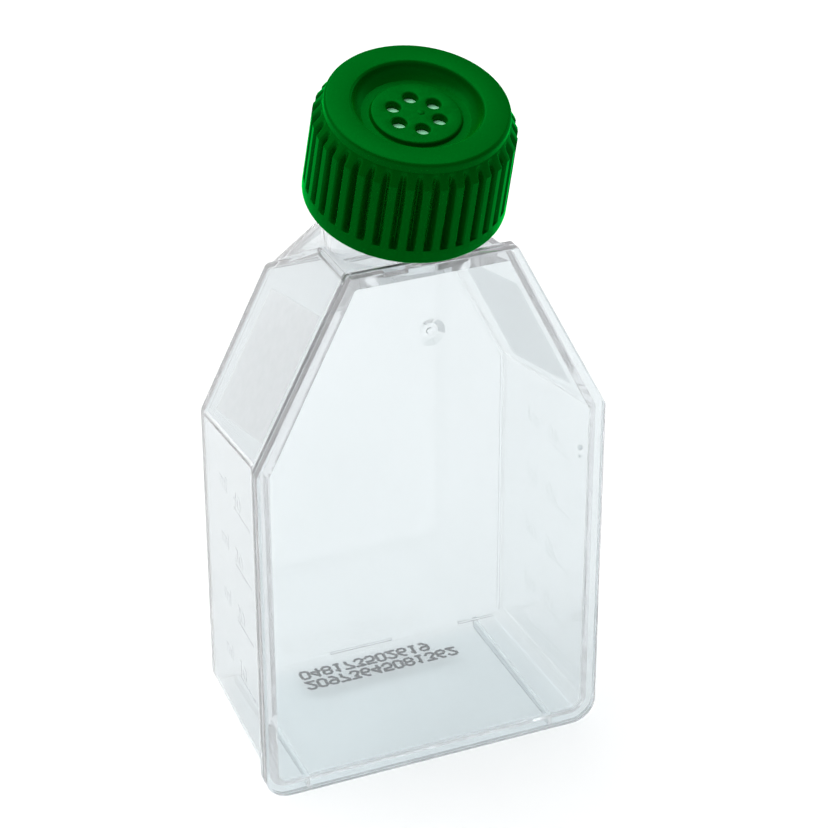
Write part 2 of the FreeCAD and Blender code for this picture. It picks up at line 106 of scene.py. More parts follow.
class BooleanKind(Enum):
    """How two solids are put together."""

    UNION = "UNION"
    CUT = "DIFFERENCE"


# ---------------------------------------------------------------- shapes, in millimetres


def object_from(bm: bmesh.types.BMesh, name: str) -> bpy.types.Object:
    """Turn a bmesh into a linked object.

    Args:
        bm: The mesh, which is freed here.
        name: The object's name.

    Returns:
        The new object, still in millimetres.
    """
    bmesh.ops.recalc_face_normals(bm, faces=bm.faces)
    mesh = bpy.data.meshes.new(name)
    bm.to_mesh(mesh)
    bm.free()
    obj = bpy.data.objects.new(name, mesh)
    bpy.context.scene.collection.objects.link(obj)
    return obj


def apply_modifiers(obj: bpy.types.Object) -> None:
    """Replace an object's mesh by what its modifiers make of it.

    Args:
        obj: The object, which keeps no modifier.
    """
    depsgraph = bpy.context.evaluated_depsgraph_get()
    depsgraph.update()
    made = bpy.data.meshes.new_from_object(obj.evaluated_get(depsgraph))
    old = obj.data
    obj.modifiers.clear()
    obj.data = made
    bpy.data.meshes.remove(old)


def combine(target: bpy.types.Object, tools: Iterable[bpy.types.Object], kind: BooleanKind) -> None:
    """Join or cut a solid with others, which are used up.

    Args:
        target: The solid that stays.
        tools: The solids that are joined to it or cut from it.
        kind: Union or cut.
    """
    group = bpy.data.collections.new("tools")
    bpy.context.scene.collection.children.link(group)
    for tool in tools:
        group.objects.link(tool)
    step = target.modifiers.new("combine", "BOOLEAN")
    step.operation = kind.value
    step.solver = "EXACT"
    step.operand_type = "COLLECTION"
    step.collection = group
    apply_modifiers(target)
    for tool in list(group.objects):
        mesh = tool.data
        bpy.data.objects.remove(tool)
        bpy.data.meshes.remove(mesh)
    bpy.data.collections.remove(group)


def round_edges(
    obj: bpy.types.Object, radius_of: Callable[[Vector, Vector], float], segments: int = 4
) -> None:
    """Round the edges of a solid, each with its own radius.

    Args:
        obj: The solid.
        radius_of: Gives an edge's radius from its two ends, 0 to leave it sharp.
        segments: Faces across each rounding.
    """
    mesh = obj.data
    points = [v.co for v in mesh.vertices]
    radii = [radius_of(points[e.vertices[0]], points[e.vertices[1]]) for e in mesh.edges]
    widest = max(radii)
    if widest <= 0:
        return
    weights = mesh.attributes.new("bevel_weight_edge", "FLOAT", "EDGE")
    weights.data.foreach_set("value", [radius / widest for radius in radii])
    step = obj.modifiers.new("round", "BEVEL")
    step.limit_method = "WEIGHT"
    step.width = widest
    step.segments = segments
    apply_modifiers(obj)


def face_edges(radius: float) -> Callable[[Vector, Vector], float]:
    """Give the rule that rounds only the edges round a front or a back face.

    Args:
        radius: Their radius.

    Returns:
        The rule.
    """

    def rule(a: Vector, b: Vector) -> float:
        """Give one edge's radius from its two ends."""
        return radius if abs(a.y - b.y) < TINY else 0.0

    return rule


@dataclass(frozen=True)
class Plane:
    """One flat face of a convex solid, in millimetres.

    Attributes:
        point: A point on the face.
        normal: The direction that points out of the solid.
    """

    point: Vector
    normal: Vector

    def moved_in(self, depth: float) -> "Plane":
        """Move the face into the solid by a depth."""
        return Plane(self.point - self.normal.normalized() * depth, self.normal)

    def lift(self, first: str, a: float, second: str, b: float, third: str) -> Vector:
        """Find the face's point with two coordinates given.

        Args:
            first: The first given axis, x, y or z.
            a: Its value.
            second: The second given axis.
            b: Its value.
            third: The axis to find.

        Returns:
            The point.
        """
        point = self.point.copy()
        setattr(point, first, a)
        setattr(point, second, b)
        off = (point - self.point).dot(self.normal) / getattr(self.normal, third)
        setattr(point, third, getattr(point, third) - off)
        return point

    def frame(self, origin: Vector, across: Vector) -> Matrix:
        """Give a frame on the face, to write or draw in.

        Args:
            origin: A point on the face.
            across: The reading direction, roughly along the face.

        Returns:
            The frame: X is the reading direction, Z points out.
        """
        out = self.normal.normalized()
        along = (across - out * across.dot(out)).normalized()
        turn = Matrix((along, out.cross(along), out)).transposed().to_4x4()
        return Matrix.Translation(origin) @ turn


def upright_face(depth: float, sign: int) -> Plane:
    """Give a face square to the depth.

    Args:
        depth: Where it stands.
        sign: 1 for a back face, -1 for a front face.

    Returns:
        The face.
    """
    return Plane(Vector((0.0, depth, 0.0)), Vector((0.0, float(sign), 0.0)))


def convex_solid(name: str, planes: Sequence[Plane], reach: float = 200.0) -> bpy.types.Object:
    """Cut a convex solid out of a large cube, one face at a time.

    Args:
        name: The object's name.
        planes: The faces.
        reach: Side of the cube to start from.

    Returns:
        The solid.
    """
    bm = bmesh.new()
    bmesh.ops.create_cube(bm, size=reach)
    for plane in planes:
        everything = bm.verts[:] + bm.edges[:] + bm.faces[:]
        cut = bmesh.ops.bisect_plane(
            bm, geom=everything, plane_co=plane.point, plane_no=plane.normal, clear_outer=True, dist=TINY
        )
        rim = [item for item in cut["geom_cut"] if isinstance(item, bmesh.types.BMEdge)]
        bmesh.ops.contextual_create(bm, geom=rim)
    return object_from(bm, name)


def prism(name: str, outline: Sequence[tuple[float, float]], near: float, far: float) -> bpy.types.Object:
    """Extrude an upright outline front to back.

    Args:
        name: The object's name.
        outline: Corners as (across, up).
        near: Depth of the front face.
        far: Depth of the back face.

    Returns:
        The solid.
    """
    bm = bmesh.new()
    front = [bm.verts.new((x, near, z)) for x, z in outline]
    back = [bm.verts.new((x, far, z)) for x, z in outline]
    bm.faces.new(front)
    bm.faces.new(back)
    count = len(outline)
    for i in range(count):
        bm.faces.new((front[i], front[(i + 1) % count], back[(i + 1) % count], back[i]))
    return object_from(bm, name)


def rounded_outline(
    corners: Sequence[tuple[float, float, float]], steps: int = 10
) -> list[tuple[float, float]]:
    """Round the corners of an outline.

    Args:
        corners: Each corner as (across, up, radius).
        steps: Segments in each rounded corner.

    Returns:
        The outline as plain points.
    """
    out = []
    count = len(corners)
    for i, (x, z, radius) in enumerate(corners):
        here = Vector((x, z))
        if radius <= 0:
            out.append((x, z))
            continue
        before = (Vector(corners[i - 1][:2]) - here).normalized()
        after = (Vector(corners[(i + 1) % count][:2]) - here).normalized()
        half = before.angle(after) / 2
        centre = here + (before + after).normalized() * radius / math.sin(half)
        start = here + before * radius / math.tan(half) - centre
        end = here + after * radius / math.tan(half) - centre
        sweep = start.angle_signed(end)
        for k in range(steps + 1):
            turned = start.copy()
            turned.rotate(Matrix.Rotation(-sweep * k / steps, 2))
            out.append(tuple(centre + turned))
    return out


def skin(
    bm: bmesh.types.BMesh, rings: Sequence[Sequence[Vector]], close_ends: bool = True
) -> list[list[bmesh.types.BMVert]]:
    """Join closed rings of points by quads, in order.

    Args:
        bm: The mesh to add to.
        rings: Rings with equal numbers of points.
        close_ends: Whether the first and last rings get a face across.

    Returns:
        The rings as points of the mesh.
    """
    made = [[bm.verts.new(point) for point in ring] for ring in rings]
    count = len(made[0])
    for low, high in zip(made, made[1:]):
        for i in range(count):
            j = (i + 1) % count
            bm.faces.new((low[i], low[j], high[j], high[i]))
    if close_ends:
        bm.faces.new(made[0])
        bm.faces.new(made[-1])
    return made


def fill_flat(bm: bmesh.types.BMesh, loops: Sequence[Sequence[bmesh.types.BMVert]], normal: Vector) -> None:
    """Fill the flat area between an outer loop and the loops inside it.

    Args:
        bm: The mesh that holds the loops.
        loops: The outer loop and its holes.
        normal: Which way the area faces.
    """
    edges = [bm.edges.get((a, b)) for loop in loops for a, b in zip(loop, [*loop[1:], loop[0]])]
    bmesh.ops.triangle_fill(bm, edges=edges, use_beauty=True, normal=normal)


def arc(
    centre: tuple[float, float], radius: float, start: float, end: float, steps: int
) -> list[tuple[float, float]]:
    """Give points on an arc of a turned profile.

    Args:
        centre: Middle of the arc, as (radius, height).
        radius: Its radius.
        start: First angle in degrees, 0 outwards and 90 up.
        end: Last angle in degrees.
        steps: Segments.

    Returns:
        Points as (radius, height).
    """
    turns = [math.radians(start + (end - start) * k / steps) for k in range(steps + 1)]
    return [(centre[0] + radius * math.cos(turn), centre[1] + radius * math.sin(turn)) for turn in turns]


def slab(name: str, corners: Sequence[Vector], normal: Vector, low: float, high: float) -> bpy.types.Object:
    """Make a thin flat piece that lies on a face.

    Args:
        name: The object's name.
        corners: Its corners on the face.
        normal: The face's outward direction.
        low: Height of its underside over the face.
        high: Height of its top over the face.

    Returns:
        The solid.
    """
    bm = bmesh.new()
    out = normal.normalized()
    skin(bm, [[corner + out * height for corner in corners] for height in (low, high)])
    return object_from(bm, name)


def written(name: str, text: str, size: float, depth: float) -> bpy.types.Object:
    """Make raised plain lettering in Blender's own font, on the local XY plane.

    Args:
        name: The object's name.
        text: What it says.
        size: Height of the font.
        depth: Half of its thickness.

    Returns:
        The solid lettering.
    """
    curve = bpy.data.curves.new(name, "FONT")
    curve.body = text
    curve.size = size
    curve.extrude = depth
    curve.align_x = "CENTER"
    curve.resolution_u = LETTER_STEPS
    source = bpy.data.objects.new(name, curve)
    bpy.context.scene.collection.objects.link(source)
    bpy.context.view_layer.update()
    bm = bmesh.new()
    letters = source.evaluated_get(bpy.context.evaluated_depsgraph_get())
    bm.from_mesh(bpy.data.meshes.new_from_object(letters))
    bpy.data.objects.remove(source)
    bpy.data.curves.remove(curve)
    bmesh.ops.remove_doubles(bm, verts=bm.verts, dist=LETTER_MERGE)
    return object_from(bm, name)


def turned_solid(
    name: str, profile: Sequence[tuple[float, float]], place: Matrix, segments: int = 96
) -> bpy.types.Object:
    """Turn a profile about the local Z axis into a solid.

    Args:
        name: The object's name.
        profile: Points as (radius, height), from one end to the other, with both end radii above zero.
        place: Where the local frame goes.
        segments: Faces round the solid.

    Returns:
        The solid.
    """
    bm = bmesh.new()
    turns = [2 * math.pi * i / segments for i in range(segments)]
    skin(bm, [[place @ Vector((r * math.cos(a), r * math.sin(a), z)) for a in turns] for r, z in profile])
    return object_from(bm, name)


def smooth_by_angle(obj: bpy.types.Object, degrees: float) -> None:
    """Shade an object smooth, but for edges sharper than an angle.

    Args:
        obj: The object.
        degrees: The angle.
    """
    bm = bmesh.new()
    bm.from_mesh(obj.data)
    limit = math.radians(degrees)
    for face in bm.faces:
        face.smooth = True
    for edge in bm.edges:
        edge.smooth = len(edge.link_faces) == 2 and edge.calc_face_angle(0.0) < limit
    bm.to_mesh(obj.data)
    bm.free()


def finish_solid(obj: bpy.types.Object, degrees: float, merge: float = 1e-4) -> None:
    """Clean a finished solid and bring it from millimetres to metres.

    Args:
        obj: The object.
        degrees: Edges sharper than this stay sharp in the shading.
        merge: Points closer than this, in millimetres, become one.
    """
    bm = bmesh.new()
    bm.from_mesh(obj.data)
    bmesh.ops.remove_doubles(bm, verts=bm.verts, dist=merge)
    bmesh.ops.dissolve_degenerate(bm, edges=bm.edges, dist=merge)
    bmesh.ops.recalc_face_normals(bm, faces=bm.faces)
    bm.to_mesh(obj.data)
    bm.free()
    smooth_by_angle(obj, degrees)
    obj.data.transform(Matrix.Scale(MM, 4))
    obj.data.update()
    flatten = obj.modifiers.new("flat_faces_stay_flat", "WEIGHTED_NORMAL")
    flatten.keep_sharp = True
    flatten.weight = AREA_WEIGHT
    apply_modifiers(obj)


# ---------------------------------------------------------------- finishes


class Graph:
    """A material's nodes, made and wired in few words.

    Attributes:
        LOW: Factor at which the first of two values or colours is reached.
        HIGH: Factor at which the second is reached.
        material: The material.
        tree: Its nodes.
        coords: The object's own coordinates, as a link.
    """

    LOW = 0.3
    HIGH = 0.7

    def __init__(self, name: str) -> None:
        """Start an empty material.

        Args:
            name: The material's name.
        """
        self.material = bpy.data.materials.new(name)
        self.material.use_nodes = True
        self.tree = self.material.node_tree
        self.tree.nodes.clear()
        self.coords = self.add("ShaderNodeTexCoord").outputs["Object"]

    def add(self, kind: str, **inputs: object) -> bpy.types.Node:
        """Add a node.

        Args:
            kind: Blender's name for the node.
            **inputs: Socket values or links, with underscores for spaces.

        Returns:
            The node.
        """
        node = self.tree.nodes.new(kind)
        for key, value in inputs.items():
            self.feed(node.inputs[key.replace("_", " ")], value)
        return node

    def feed(self, socket: bpy.types.NodeSocket, value: object) -> None:
        """Link a socket or set its value.

        Args:
            socket: The input.
            value: An output socket, or a plain value.
        """
        if isinstance(value, bpy.types.NodeSocket):
            self.tree.links.new(value, socket)
        else:
            socket.default_value = value

    def noise(self, scale: float, detail: float = 3.0) -> bpy.types.NodeSocket:
        """Add a noise from 0 to 1 that is fixed to the object, by its features per metre and octaves."""
        return self.add("ShaderNodeTexNoise", Vector=self.coords, Scale=scale, Detail=detail).outputs["Fac"]

    def between(self, factor: bpy.types.NodeSocket, low: float, high: float) -> bpy.types.NodeSocket:
        """Spread a factor over a range, whose ends are reached at LOW and at HIGH."""
        return self.spread(factor, (self.LOW, self.HIGH), (low, high))

    def spread(
        self, value: bpy.types.NodeSocket, given: tuple[float, float], wanted: tuple[float, float]
    ) -> bpy.types.NodeSocket:
        """Turn one range into another.

        Args:
            value: The value.
            given: Ends of the range that it has.
            wanted: Ends of the range that it gets.

        Returns:
            The new value.
        """
        (low, high), (first, last) = given, wanted
        ends = {"From_Min": low, "From_Max": high, "To_Min": first, "To_Max": last}
        return self.add("ShaderNodeMapRange", Value=value, **ends).outputs["Result"]

    def blend(self, factor: bpy.types.NodeSocket, first: Colour, second: Colour) -> bpy.types.NodeSocket:
        """Mix two colours by a factor.

        Args:
            factor: The factor.
            first: Colour at LOW and below.
            second: Colour at HIGH and above.

        Returns:
            The colour.
        """
        ramp = self.add("ShaderNodeValToRGB", Fac=factor)
        stops = ramp.color_ramp.elements
        for stop, place, colour in zip(stops, (self.LOW, self.HIGH), (first, second)):
            stop.position = place
            stop.color = (*colour, 1.0)
        return ramp.outputs["Color"]

    def rise(self, low: float, high: float, noise: bpy.types.NodeSocket, stir: float) -> bpy.types.NodeSocket:
        """Give a factor that grows with the height, stirred by a noise.

        Args:
            low: Height in metres where it is LOW.
            high: Height in metres where it is HIGH.
            noise: The noise.
            stir: Share of the noise.

        Returns:
            The factor.
        """
        upright = self.add("ShaderNodeSeparateXYZ", Vector=self.coords).outputs["Z"]
        level = self.spread(upright, (low, high), (self.LOW, self.HIGH))
        return self.add("ShaderNodeMix", Factor=stir, A=level, B=noise).outputs["Result"]

    def bump(self, height: bpy.types.NodeSocket, depth: float) -> bpy.types.NodeSocket:
        """Turn a height from 0 to 1 into a bumped normal, with the bump's depth in metres."""
        return self.add("ShaderNodeBump", Height=height, Distance=depth, Strength=1.0).outputs["Normal"]

    def mix(
        self, factor: object, first: bpy.types.NodeSocket, second: bpy.types.NodeSocket
    ) -> bpy.types.NodeSocket:
        """Mix two shaders.

        Args:
            factor: Share of the second, as a link or a number.
            first: The shader at 0.
            second: The shader at 1.

        Returns:
            The mixed shader.
        """
        node = self.add("ShaderNodeMixShader")
        for socket, value in zip(node.inputs, (factor, first, second)):
            self.feed(socket, value)
        return node.outputs["Shader"]

    def finish(
        self, shader: bpy.types.NodeSocket, volume: Optional[bpy.types.NodeSocket] = None
    ) -> bpy.types.Material:
        """Wire the last shader to the output.

        Args:
            shader: The surface's shader.
            volume: What light crosses inside, if anything.

        Returns:
            The material.
        """
        out = self.add("ShaderNodeOutputMaterial", Surface=shader)
        if volume is not None:
            self.feed(out.inputs["Volume"], volume)
        return self.material


@dataclass(frozen=True)
class ClearPlastic:
    """Clear moulded polystyrene, which takes off light by its depth.

    Attributes:
        name: The material's name.
        tint: Colour of light that crossed a wall at the foot, darker there as painted
            shade of the floor seen through the low walls.
        tint_top: The same at the top; the fade from it down to the darker foot is
            painted shade.
        top: Height of the top, in metres.
        stir: Share of the flow lines in the tint.
        absorb: Light taken off for each metre of plastic.
        kept: Share of that which each colour escapes.
        shade: How much light each surface lets into a shadow.
        ior: Refractive index.
        haze: Largest roughness.
        wave: Depth of the flow waves, in metres.
        veil: Share of the light that the skin scatters, lowest and highest.
        milk: Colour of that light.
        flow: Flow lines per metre.
        fine: Features per metre of the haze.
    """

    name: str = "clear_polystyrene"
    # these defaults are the body's tints, far darker than the plate's: the plastic's faint colour plus
    # painted shade of the floor seen through the body
    tint: Colour = (0.688, 0.728, 0.741)
    tint_top: Colour = (0.800, 0.830, 0.842)
    top: float = 0.078
    stir: float = 0.1
    absorb: float = 5.0
    kept: Colour = (0.10, 0.0, 0.06)
    shade: Colour = (0.952, 0.962, 0.964)
    ior: float = 1.59
    haze: float = 0.012
    wave: float = 4e-7
    veil: tuple[float, float] = (0.042, 0.050)
    milk: Colour = (0.95, 0.95, 0.95)
    flow: float = 90.0
    fine: float = 400.0

    def build(self) -> bpy.types.Material:
        """Make the material.

        Returns:
            The material.
        """
        graph = Graph(self.name)
        flow = graph.noise(self.flow)
        plastic = graph.add(
            "ShaderNodeBsdfPrincipled",
            # the base colour fades darker towards the foot: painted shade of the floor seen through the low
            # walls
            Base_Color=graph.blend(graph.rise(0.0, self.top, flow, self.stir), self.tint, self.tint_top),
            Roughness=graph.between(graph.noise(self.fine), 0.0, self.haze),
            IOR=self.ior,
            Transmission_Weight=1.0,
            Normal=graph.bump(flow, self.wave),
        )
        milk = graph.add("ShaderNodeBsdfTranslucent", Color=(*self.milk, 1.0))
        skin_deep = graph.mix(graph.between(flow, *self.veil), plastic.outputs["BSDF"], milk.outputs["BSDF"])
        lit = graph.add("ShaderNodeBsdfTransparent", Color=(*self.shade, 1.0))
        path = graph.add("ShaderNodeLightPath")
        surface = graph.mix(path.outputs["Is Shadow Ray"], skin_deep, lit.outputs["BSDF"])
        depth = graph.add("ShaderNodeVolumeAbsorption", Color=(*self.kept, 1.0), Density=self.absorb)
        return graph.finish(surface, depth.outputs["Volume"])


@dataclass(frozen=True)
class SolidPlastic:
    """Coloured plastic or ink that light doesn't go through, with tinted reflections.

    Attributes:
        name: The material's name.
        first: One end of the mottling.
        second: The other end.
        shine: Colour of the reflections.
        grain: Mottling features per metre.
        gloss: Lowest and highest roughness.
        relief: Depth of the surface grain, in metres.
        fine: Grain features per metre.
        mirror: Refractive index that sets how strong the reflections are.
    """

    name: str
    first: Colour
    second: Colour
    shine: Colour = (1.0, 1.0, 1.0)
    grain: float = 120.0
    gloss: tuple[float, float] = (0.3, 0.4)
    relief: float = 1e-5
    fine: float = 900.0
    mirror: float = 1.4

    def build(self) -> bpy.types.Material:
        """Make the material.

        Returns:
            The material.
        """
        graph = Graph(self.name)
        fine = graph.noise(self.fine)
        rough = graph.between(fine, *self.gloss)
        normal = graph.bump(fine, self.relief)
        body = graph.add(
            "ShaderNodeBsdfPrincipled",
            Base_Color=graph.blend(graph.noise(self.grain), self.first, self.second),
            Roughness=rough,
            Specular_IOR_Level=0.0,
            Normal=normal,
        )
        glint = graph.add("ShaderNodeBsdfGlossy", Color=(*self.shine, 1.0), Roughness=rough, Normal=normal)
        share = graph.add("ShaderNodeFresnel", IOR=self.mirror, Normal=normal)
        return graph.finish(graph.mix(share.outputs["Fac"], body.outputs["BSDF"], glint.outputs["BSDF"]))


@dataclass(frozen=True)
class MattFilm:
    """A matt white film or etched patch, lit from both sides.

    Attributes:
        name: The material's name.
        tone: Colour of the film.
        tone_thin: Its colour where it is thinner.
        cover: Share of the light that it scatters, lowest and highest.
        glow: Share of the scattered light that goes through.
        sheen: Share of the light that the surface reflects.
        speckle: Features per metre.
        gloss: Roughness of the reflections.
    """

    name: str
    tone: Colour
    tone_thin: Colour
    cover: tuple[float, float]
    glow: float = 0.5
    sheen: float = 0.04
    speckle: float = 700.0
    gloss: float = 0.3

    def build(self) -> bpy.types.Material:
        """Make the material.

        Returns:
            The material.
        """
        graph = Graph(self.name)
        grain = graph.noise(self.speckle)
        colour = graph.blend(grain, self.tone, self.tone_thin)
        matt = graph.add("ShaderNodeBsdfDiffuse", Color=colour)
        through = graph.add("ShaderNodeBsdfTranslucent", Color=colour)
        cloth = graph.mix(self.glow, matt.outputs["BSDF"], through.outputs["BSDF"])
        glint = graph.add("ShaderNodeBsdfGlossy", Color=colour, Roughness=self.gloss)
        cloth = graph.mix(self.sheen, cloth, glint.outputs["BSDF"])
        clear = graph.add("ShaderNodeBsdfTransparent")
        share = graph.between(grain, *self.cover)
        return graph.finish(graph.mix(share, clear.outputs["BSDF"], cloth))


@dataclass(frozen=True)
class PrintInk:
    """Matt ink in thin dots, which leaves no shadow worth seeing.

    Attributes:
        name: The material's name.
        first: One end of the mottling.
        second: The other end.
        speckle: Mottling features per metre.
        gloss: Lowest and highest roughness.
        sheen: How strong the reflections are.
    """

    name: str
    first: Colour
    second: Colour
    speckle: float = 1500.0
    gloss: tuple[float, float] = (0.5, 0.7)
    sheen: float = 0.2

    def build(self) -> bpy.types.Material:
        """Make the material.

        Returns:
            The material.
        """
        graph = Graph(self.name)
        speckle = graph.noise(self.speckle)
        ink = graph.add(
            "ShaderNodeBsdfPrincipled",
            Base_Color=graph.blend(speckle, self.first, self.second),
            Roughness=graph.between(speckle, *self.gloss),
            Specular_IOR_Level=self.sheen,
        )
        lit = graph.add("ShaderNodeBsdfTransparent")
        path = graph.add("ShaderNodeLightPath")
        surface = graph.mix(path.outputs["Is Shadow Ray"], ink.outputs["BSDF"], lit.outputs["BSDF"])
        return graph.finish(surface)


# body and plate are the same clear plastic; the body's much darker tints are partly painted shade of the
# floor seen through it
CLEAR_BODY = ClearPlastic()
CLEAR_PLATE = ClearPlastic(
    name="plate_polystyrene",
    tint=(0.930, 0.962, 0.970),
    tint_top=(0.950, 0.982, 0.990),
)
GREEN_CAP = SolidPlastic(
    name="green_polyethylene",
    first=(0.0, 0.052, 0.0015),
    second=(0.0, 0.058, 0.002),
    shine=(0.0, 0.85, 0.09),
    gloss=(0.30, 0.36),
    relief=0.0,
    mirror=1.37,
)
# the membrane is white; its strong green tone is painted green light bounced off the cap's walls around it
MEMBRANE_FILM_PAINTED_GREEN_BOUNCE = MattFilm(
    name="membrane_film_painted_green_bounce",
    tone=(0.40, 0.97, 0.60),
    tone_thin=(0.44, 0.99, 0.64),
    cover=(0.97, 1.0),
    glow=0.02,
    sheen=0.02,
)
WRITING_FILM = MattFilm(
    name="frosted_writing_area",
    tone=(0.895, 0.91, 0.92),
    tone_thin=(0.915, 0.93, 0.94),
    cover=(0.475, 0.49),
)
PRINT_INK = PrintInk(
    name="print_ink",
    first=(0.001, 0.001, 0.004),
    second=(0.004, 0.004, 0.012),
)
PALE_FLOOR = SolidPlastic(
    name="pale_floor",
    first=(0.89, 0.89, 0.892),
    second=(0.91, 0.91, 0.91),
    grain=3.0,
    gloss=(0.7, 0.8),
    relief=0.0,
    fine=40.0,
    mirror=1.05,
)


Finish = Union[ClearPlastic, SolidPlastic, MattFilm, PrintInk]


def dress(obj: bpy.types.Object, finish: Finish) -> None:
    """Give an object one finish, whose material is made the first time.

    Args:
        obj: The object.
        finish: The finish.
    """
    obj.data.materials.clear()
    obj.data.materials.append(bpy.data.materials.get(finish.name) or finish.build())


# ---------------------------------------------------------------- the shared lines of the flask


@dataclass(frozen=True)
class ScrewAxis:
    """The neck's axis, with the middle of the mouth as its origin.

    Attributes:
        mouth: Middle of the mouth, in millimetres.
        up: Direction out of the neck.
    """

    mouth: Vector
    up: Vector

    @classmethod
    def from_record(cls, record: dict) -> "ScrewAxis":
        """Read the axis from the cap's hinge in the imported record."""
        hinge = next(j for j in record["behaviour"]["joints"] if j["type"] == "hinge")
        return cls(Vector(hinge["pos_m"]) / MM, Vector(hinge["axis"]))

    def place(self, height: float = 0.0) -> Matrix:
        """Give the frame at a height above the mouth.

        Args:
            height: Along the axis, in millimetres.

        Returns:
            The local frame, with X across the flask.
        """
        across = Vector((1.0, 0.0, 0.0))
        back = self.up.cross(across).normalized()
        turn = Matrix((across, back, self.up)).transposed().to_4x4()
        return Matrix.Translation(self.mouth + self.up * height) @ turn


def on_cylinder(place: Matrix, radius: float, degrees: float, height: float) -> Vector:
    """Give a point by its cylinder coordinates.

    Args:
        place: The local frame.
        radius: Distance from the axis.
        degrees: Angle from local X.
        height: Along the axis.

    Returns:
        The point.
    """
    turn = math.radians(degrees)
    return place @ Vector((radius * math.cos(turn), radius * math.sin(turn), height))


# ---------------------------------------------------------------- the clear body


@dataclass(frozen=True)
class WallShape:
    """The tapering block that the chamber's walls follow, in millimetres.

    Attributes:
        front: Depth of its front face.
        back: Depth of the growth wall's outer face.
        front_half: Half of the width at the front.
        back_half: Half of the width at the back.
        front_foot: Height of the lower face at the front.
        back_foot: Height of the lower face at the back.
        front_shoulder: Height where the shoulder starts at the front.
        back_shoulder: Height where the shoulder starts at the back.
        shoulder_lean: Degrees of the shoulders from upright.
        front_top: Height of the top wall at the front.
        crest: Depth and height of the line where the top wall turns down.
        back_top: Height of the ramp's lower edge.
    """

    front: float = 0.6
    back: float = 26.4
    front_half: float = 24.05
    back_half: float = 23.0
    front_foot: float = 0.95
    back_foot: float = 1.5
    front_shoulder: float = 50.8
    back_shoulder: float = 46.9
    shoulder_lean: float = 26.5
    front_top: float = 76.25
    crest: tuple[float, float] = (12.5, 75.1)
    back_top: float = 67.0

    def share(self, depth: float) -> float:
        """Tell how far back a depth is, from 0 at the front to 1 at the back."""
        return (depth - self.front) / (self.back - self.front)

    def side(self, sign: int) -> Plane:
        """Give a side wall's outer face, with the sign 1 for +X and -1 for -X."""
        normal = Vector((sign * (self.back - self.front), self.front_half - self.back_half, 0.0))
        return Plane(Vector((sign * self.front_half, self.front, 0.0)), normal.normalized())

    def shoulder(self, sign: int) -> Plane:
        """Give a shoulder's outer face.

        Args:
            sign: 1 for +X, -1 for -X.

        Returns:
            The face.
        """
        lean = math.radians(self.shoulder_lean)
        near = Vector((self.front_half, self.front, self.front_shoulder))
        far = Vector((self.back_half, self.back, self.back_shoulder))
        normal = (far - near).cross(Vector((-math.sin(lean), 0.0, math.cos(lean)))).normalized()
        return Plane(
            Vector((sign * near.x, near.y, near.z)), Vector((sign * normal.x, normal.y, normal.z))
        )

    def foot(self) -> Plane:
        """Give the end wall's outer face."""
        normal = Vector((0.0, self.back_foot - self.front_foot, self.front - self.back))
        return Plane(Vector((0.0, self.front, self.front_foot)), normal.normalized())

    def top(self) -> Plane:
        """Give the top wall's outer face.

        Returns:
            The face.
        """
        depth, height = self.crest
        normal = Vector((0.0, self.front_top - height, depth - self.front))
        return Plane(Vector((0.0, depth, height)), normal.normalized())

    def ramp(self) -> Plane:
        """Give the face that slopes from the crest down to the growth wall.

        Returns:
            The face.
        """
        depth, height = self.crest
        normal = Vector((0.0, height - self.back_top, self.back - depth))
        return Plane(Vector((0.0, depth, height)), normal.normalized())

    def growth(self) -> Plane:
        """Give the growth wall's outer face."""
        return upright_face(self.back, 1)

    def planes(self, inset: float, front: float, back: Optional[float] = None) -> list[Plane]:
        """Give every face, moved in by a wall's thickness.

        Args:
            inset: How far the faces move in.
            front: Depth of the front face, which doesn't move.
            back: Depth of the back face, if it isn't the growth wall's own face moved in.

        Returns:
            The faces.
        """
        rear = self.growth().moved_in(inset) if back is None else upright_face(back, 1)
        ends = [self.foot(), self.top(), self.ramp()]
        flanks = [face(sign) for face in (self.side, self.shoulder) for sign in (-1, 1)]
        return [
            *(face.moved_in(inset) for face in ends),
            rear,
            *(face.moved_in(inset) for face in flanks),
            upright_face(front, -1),
        ]

    def ramp_half(self, depth: float, height: float, inset: float) -> float:
        """Give half the ramp's width at one of its ends.

        Args:
            depth: Depth of that end.
            height: Height of that end.
            inset: How far the faces move in.

        Returns:
            The half width.
        """
        share = self.share(depth)
        half = self.front_half + (self.back_half - self.front_half) * share
        shoulder = self.front_shoulder + (self.back_shoulder - self.front_shoulder) * share
        return half - inset - (height - inset - shoulder) * math.tan(math.radians(self.shoulder_lean))


@dataclass(frozen=True)
class RimShape:
    """The outline that the plate and the flange share, in millimetres.

    Attributes:
        half_width: Half of the width.
        shoulder: Height where the sides start to slant.
        top: Height of the top edge.
        lean: Degrees of the slanting sides from upright.
        corner: Radius of the bottom corners.
        bend: Radius of the other corners.
    """

    half_width: float = 25.0
    shoulder: float = 51.4
    top: float = 77.2
    lean: float = 27.4
    corner: float = 3.6
    bend: float = 1.2

    def outline(self) -> list[tuple[float, float]]:
        """Give the rounded outline.

        Returns:
            Points as (across, up).
        """
        top_half = self.half_width - (self.top - self.shoulder) * math.tan(math.radians(self.lean))
        return rounded_outline([
            (-self.half_width, 0.0, self.corner),
            (self.half_width, 0.0, self.corner),
            (self.half_width, self.shoulder, self.bend),
            (top_half, self.top, self.bend / 2),
            (-top_half, self.top, self.bend / 2),
            (-self.half_width, self.shoulder, self.bend),
        ])


@dataclass(frozen=True)
class ThreadCourse:
    """The course that the neck's thread and the cap's share, in millimetres from the mouth.

    Attributes:
        low: Height where it starts.
        high: Height where it ends.
        lead: Rise in one turn.
        starts: How many ridges run side by side.
    """

    low: float = -9.5
    high: float = -2.2
    lead: float = 6.0
    starts: int = 2


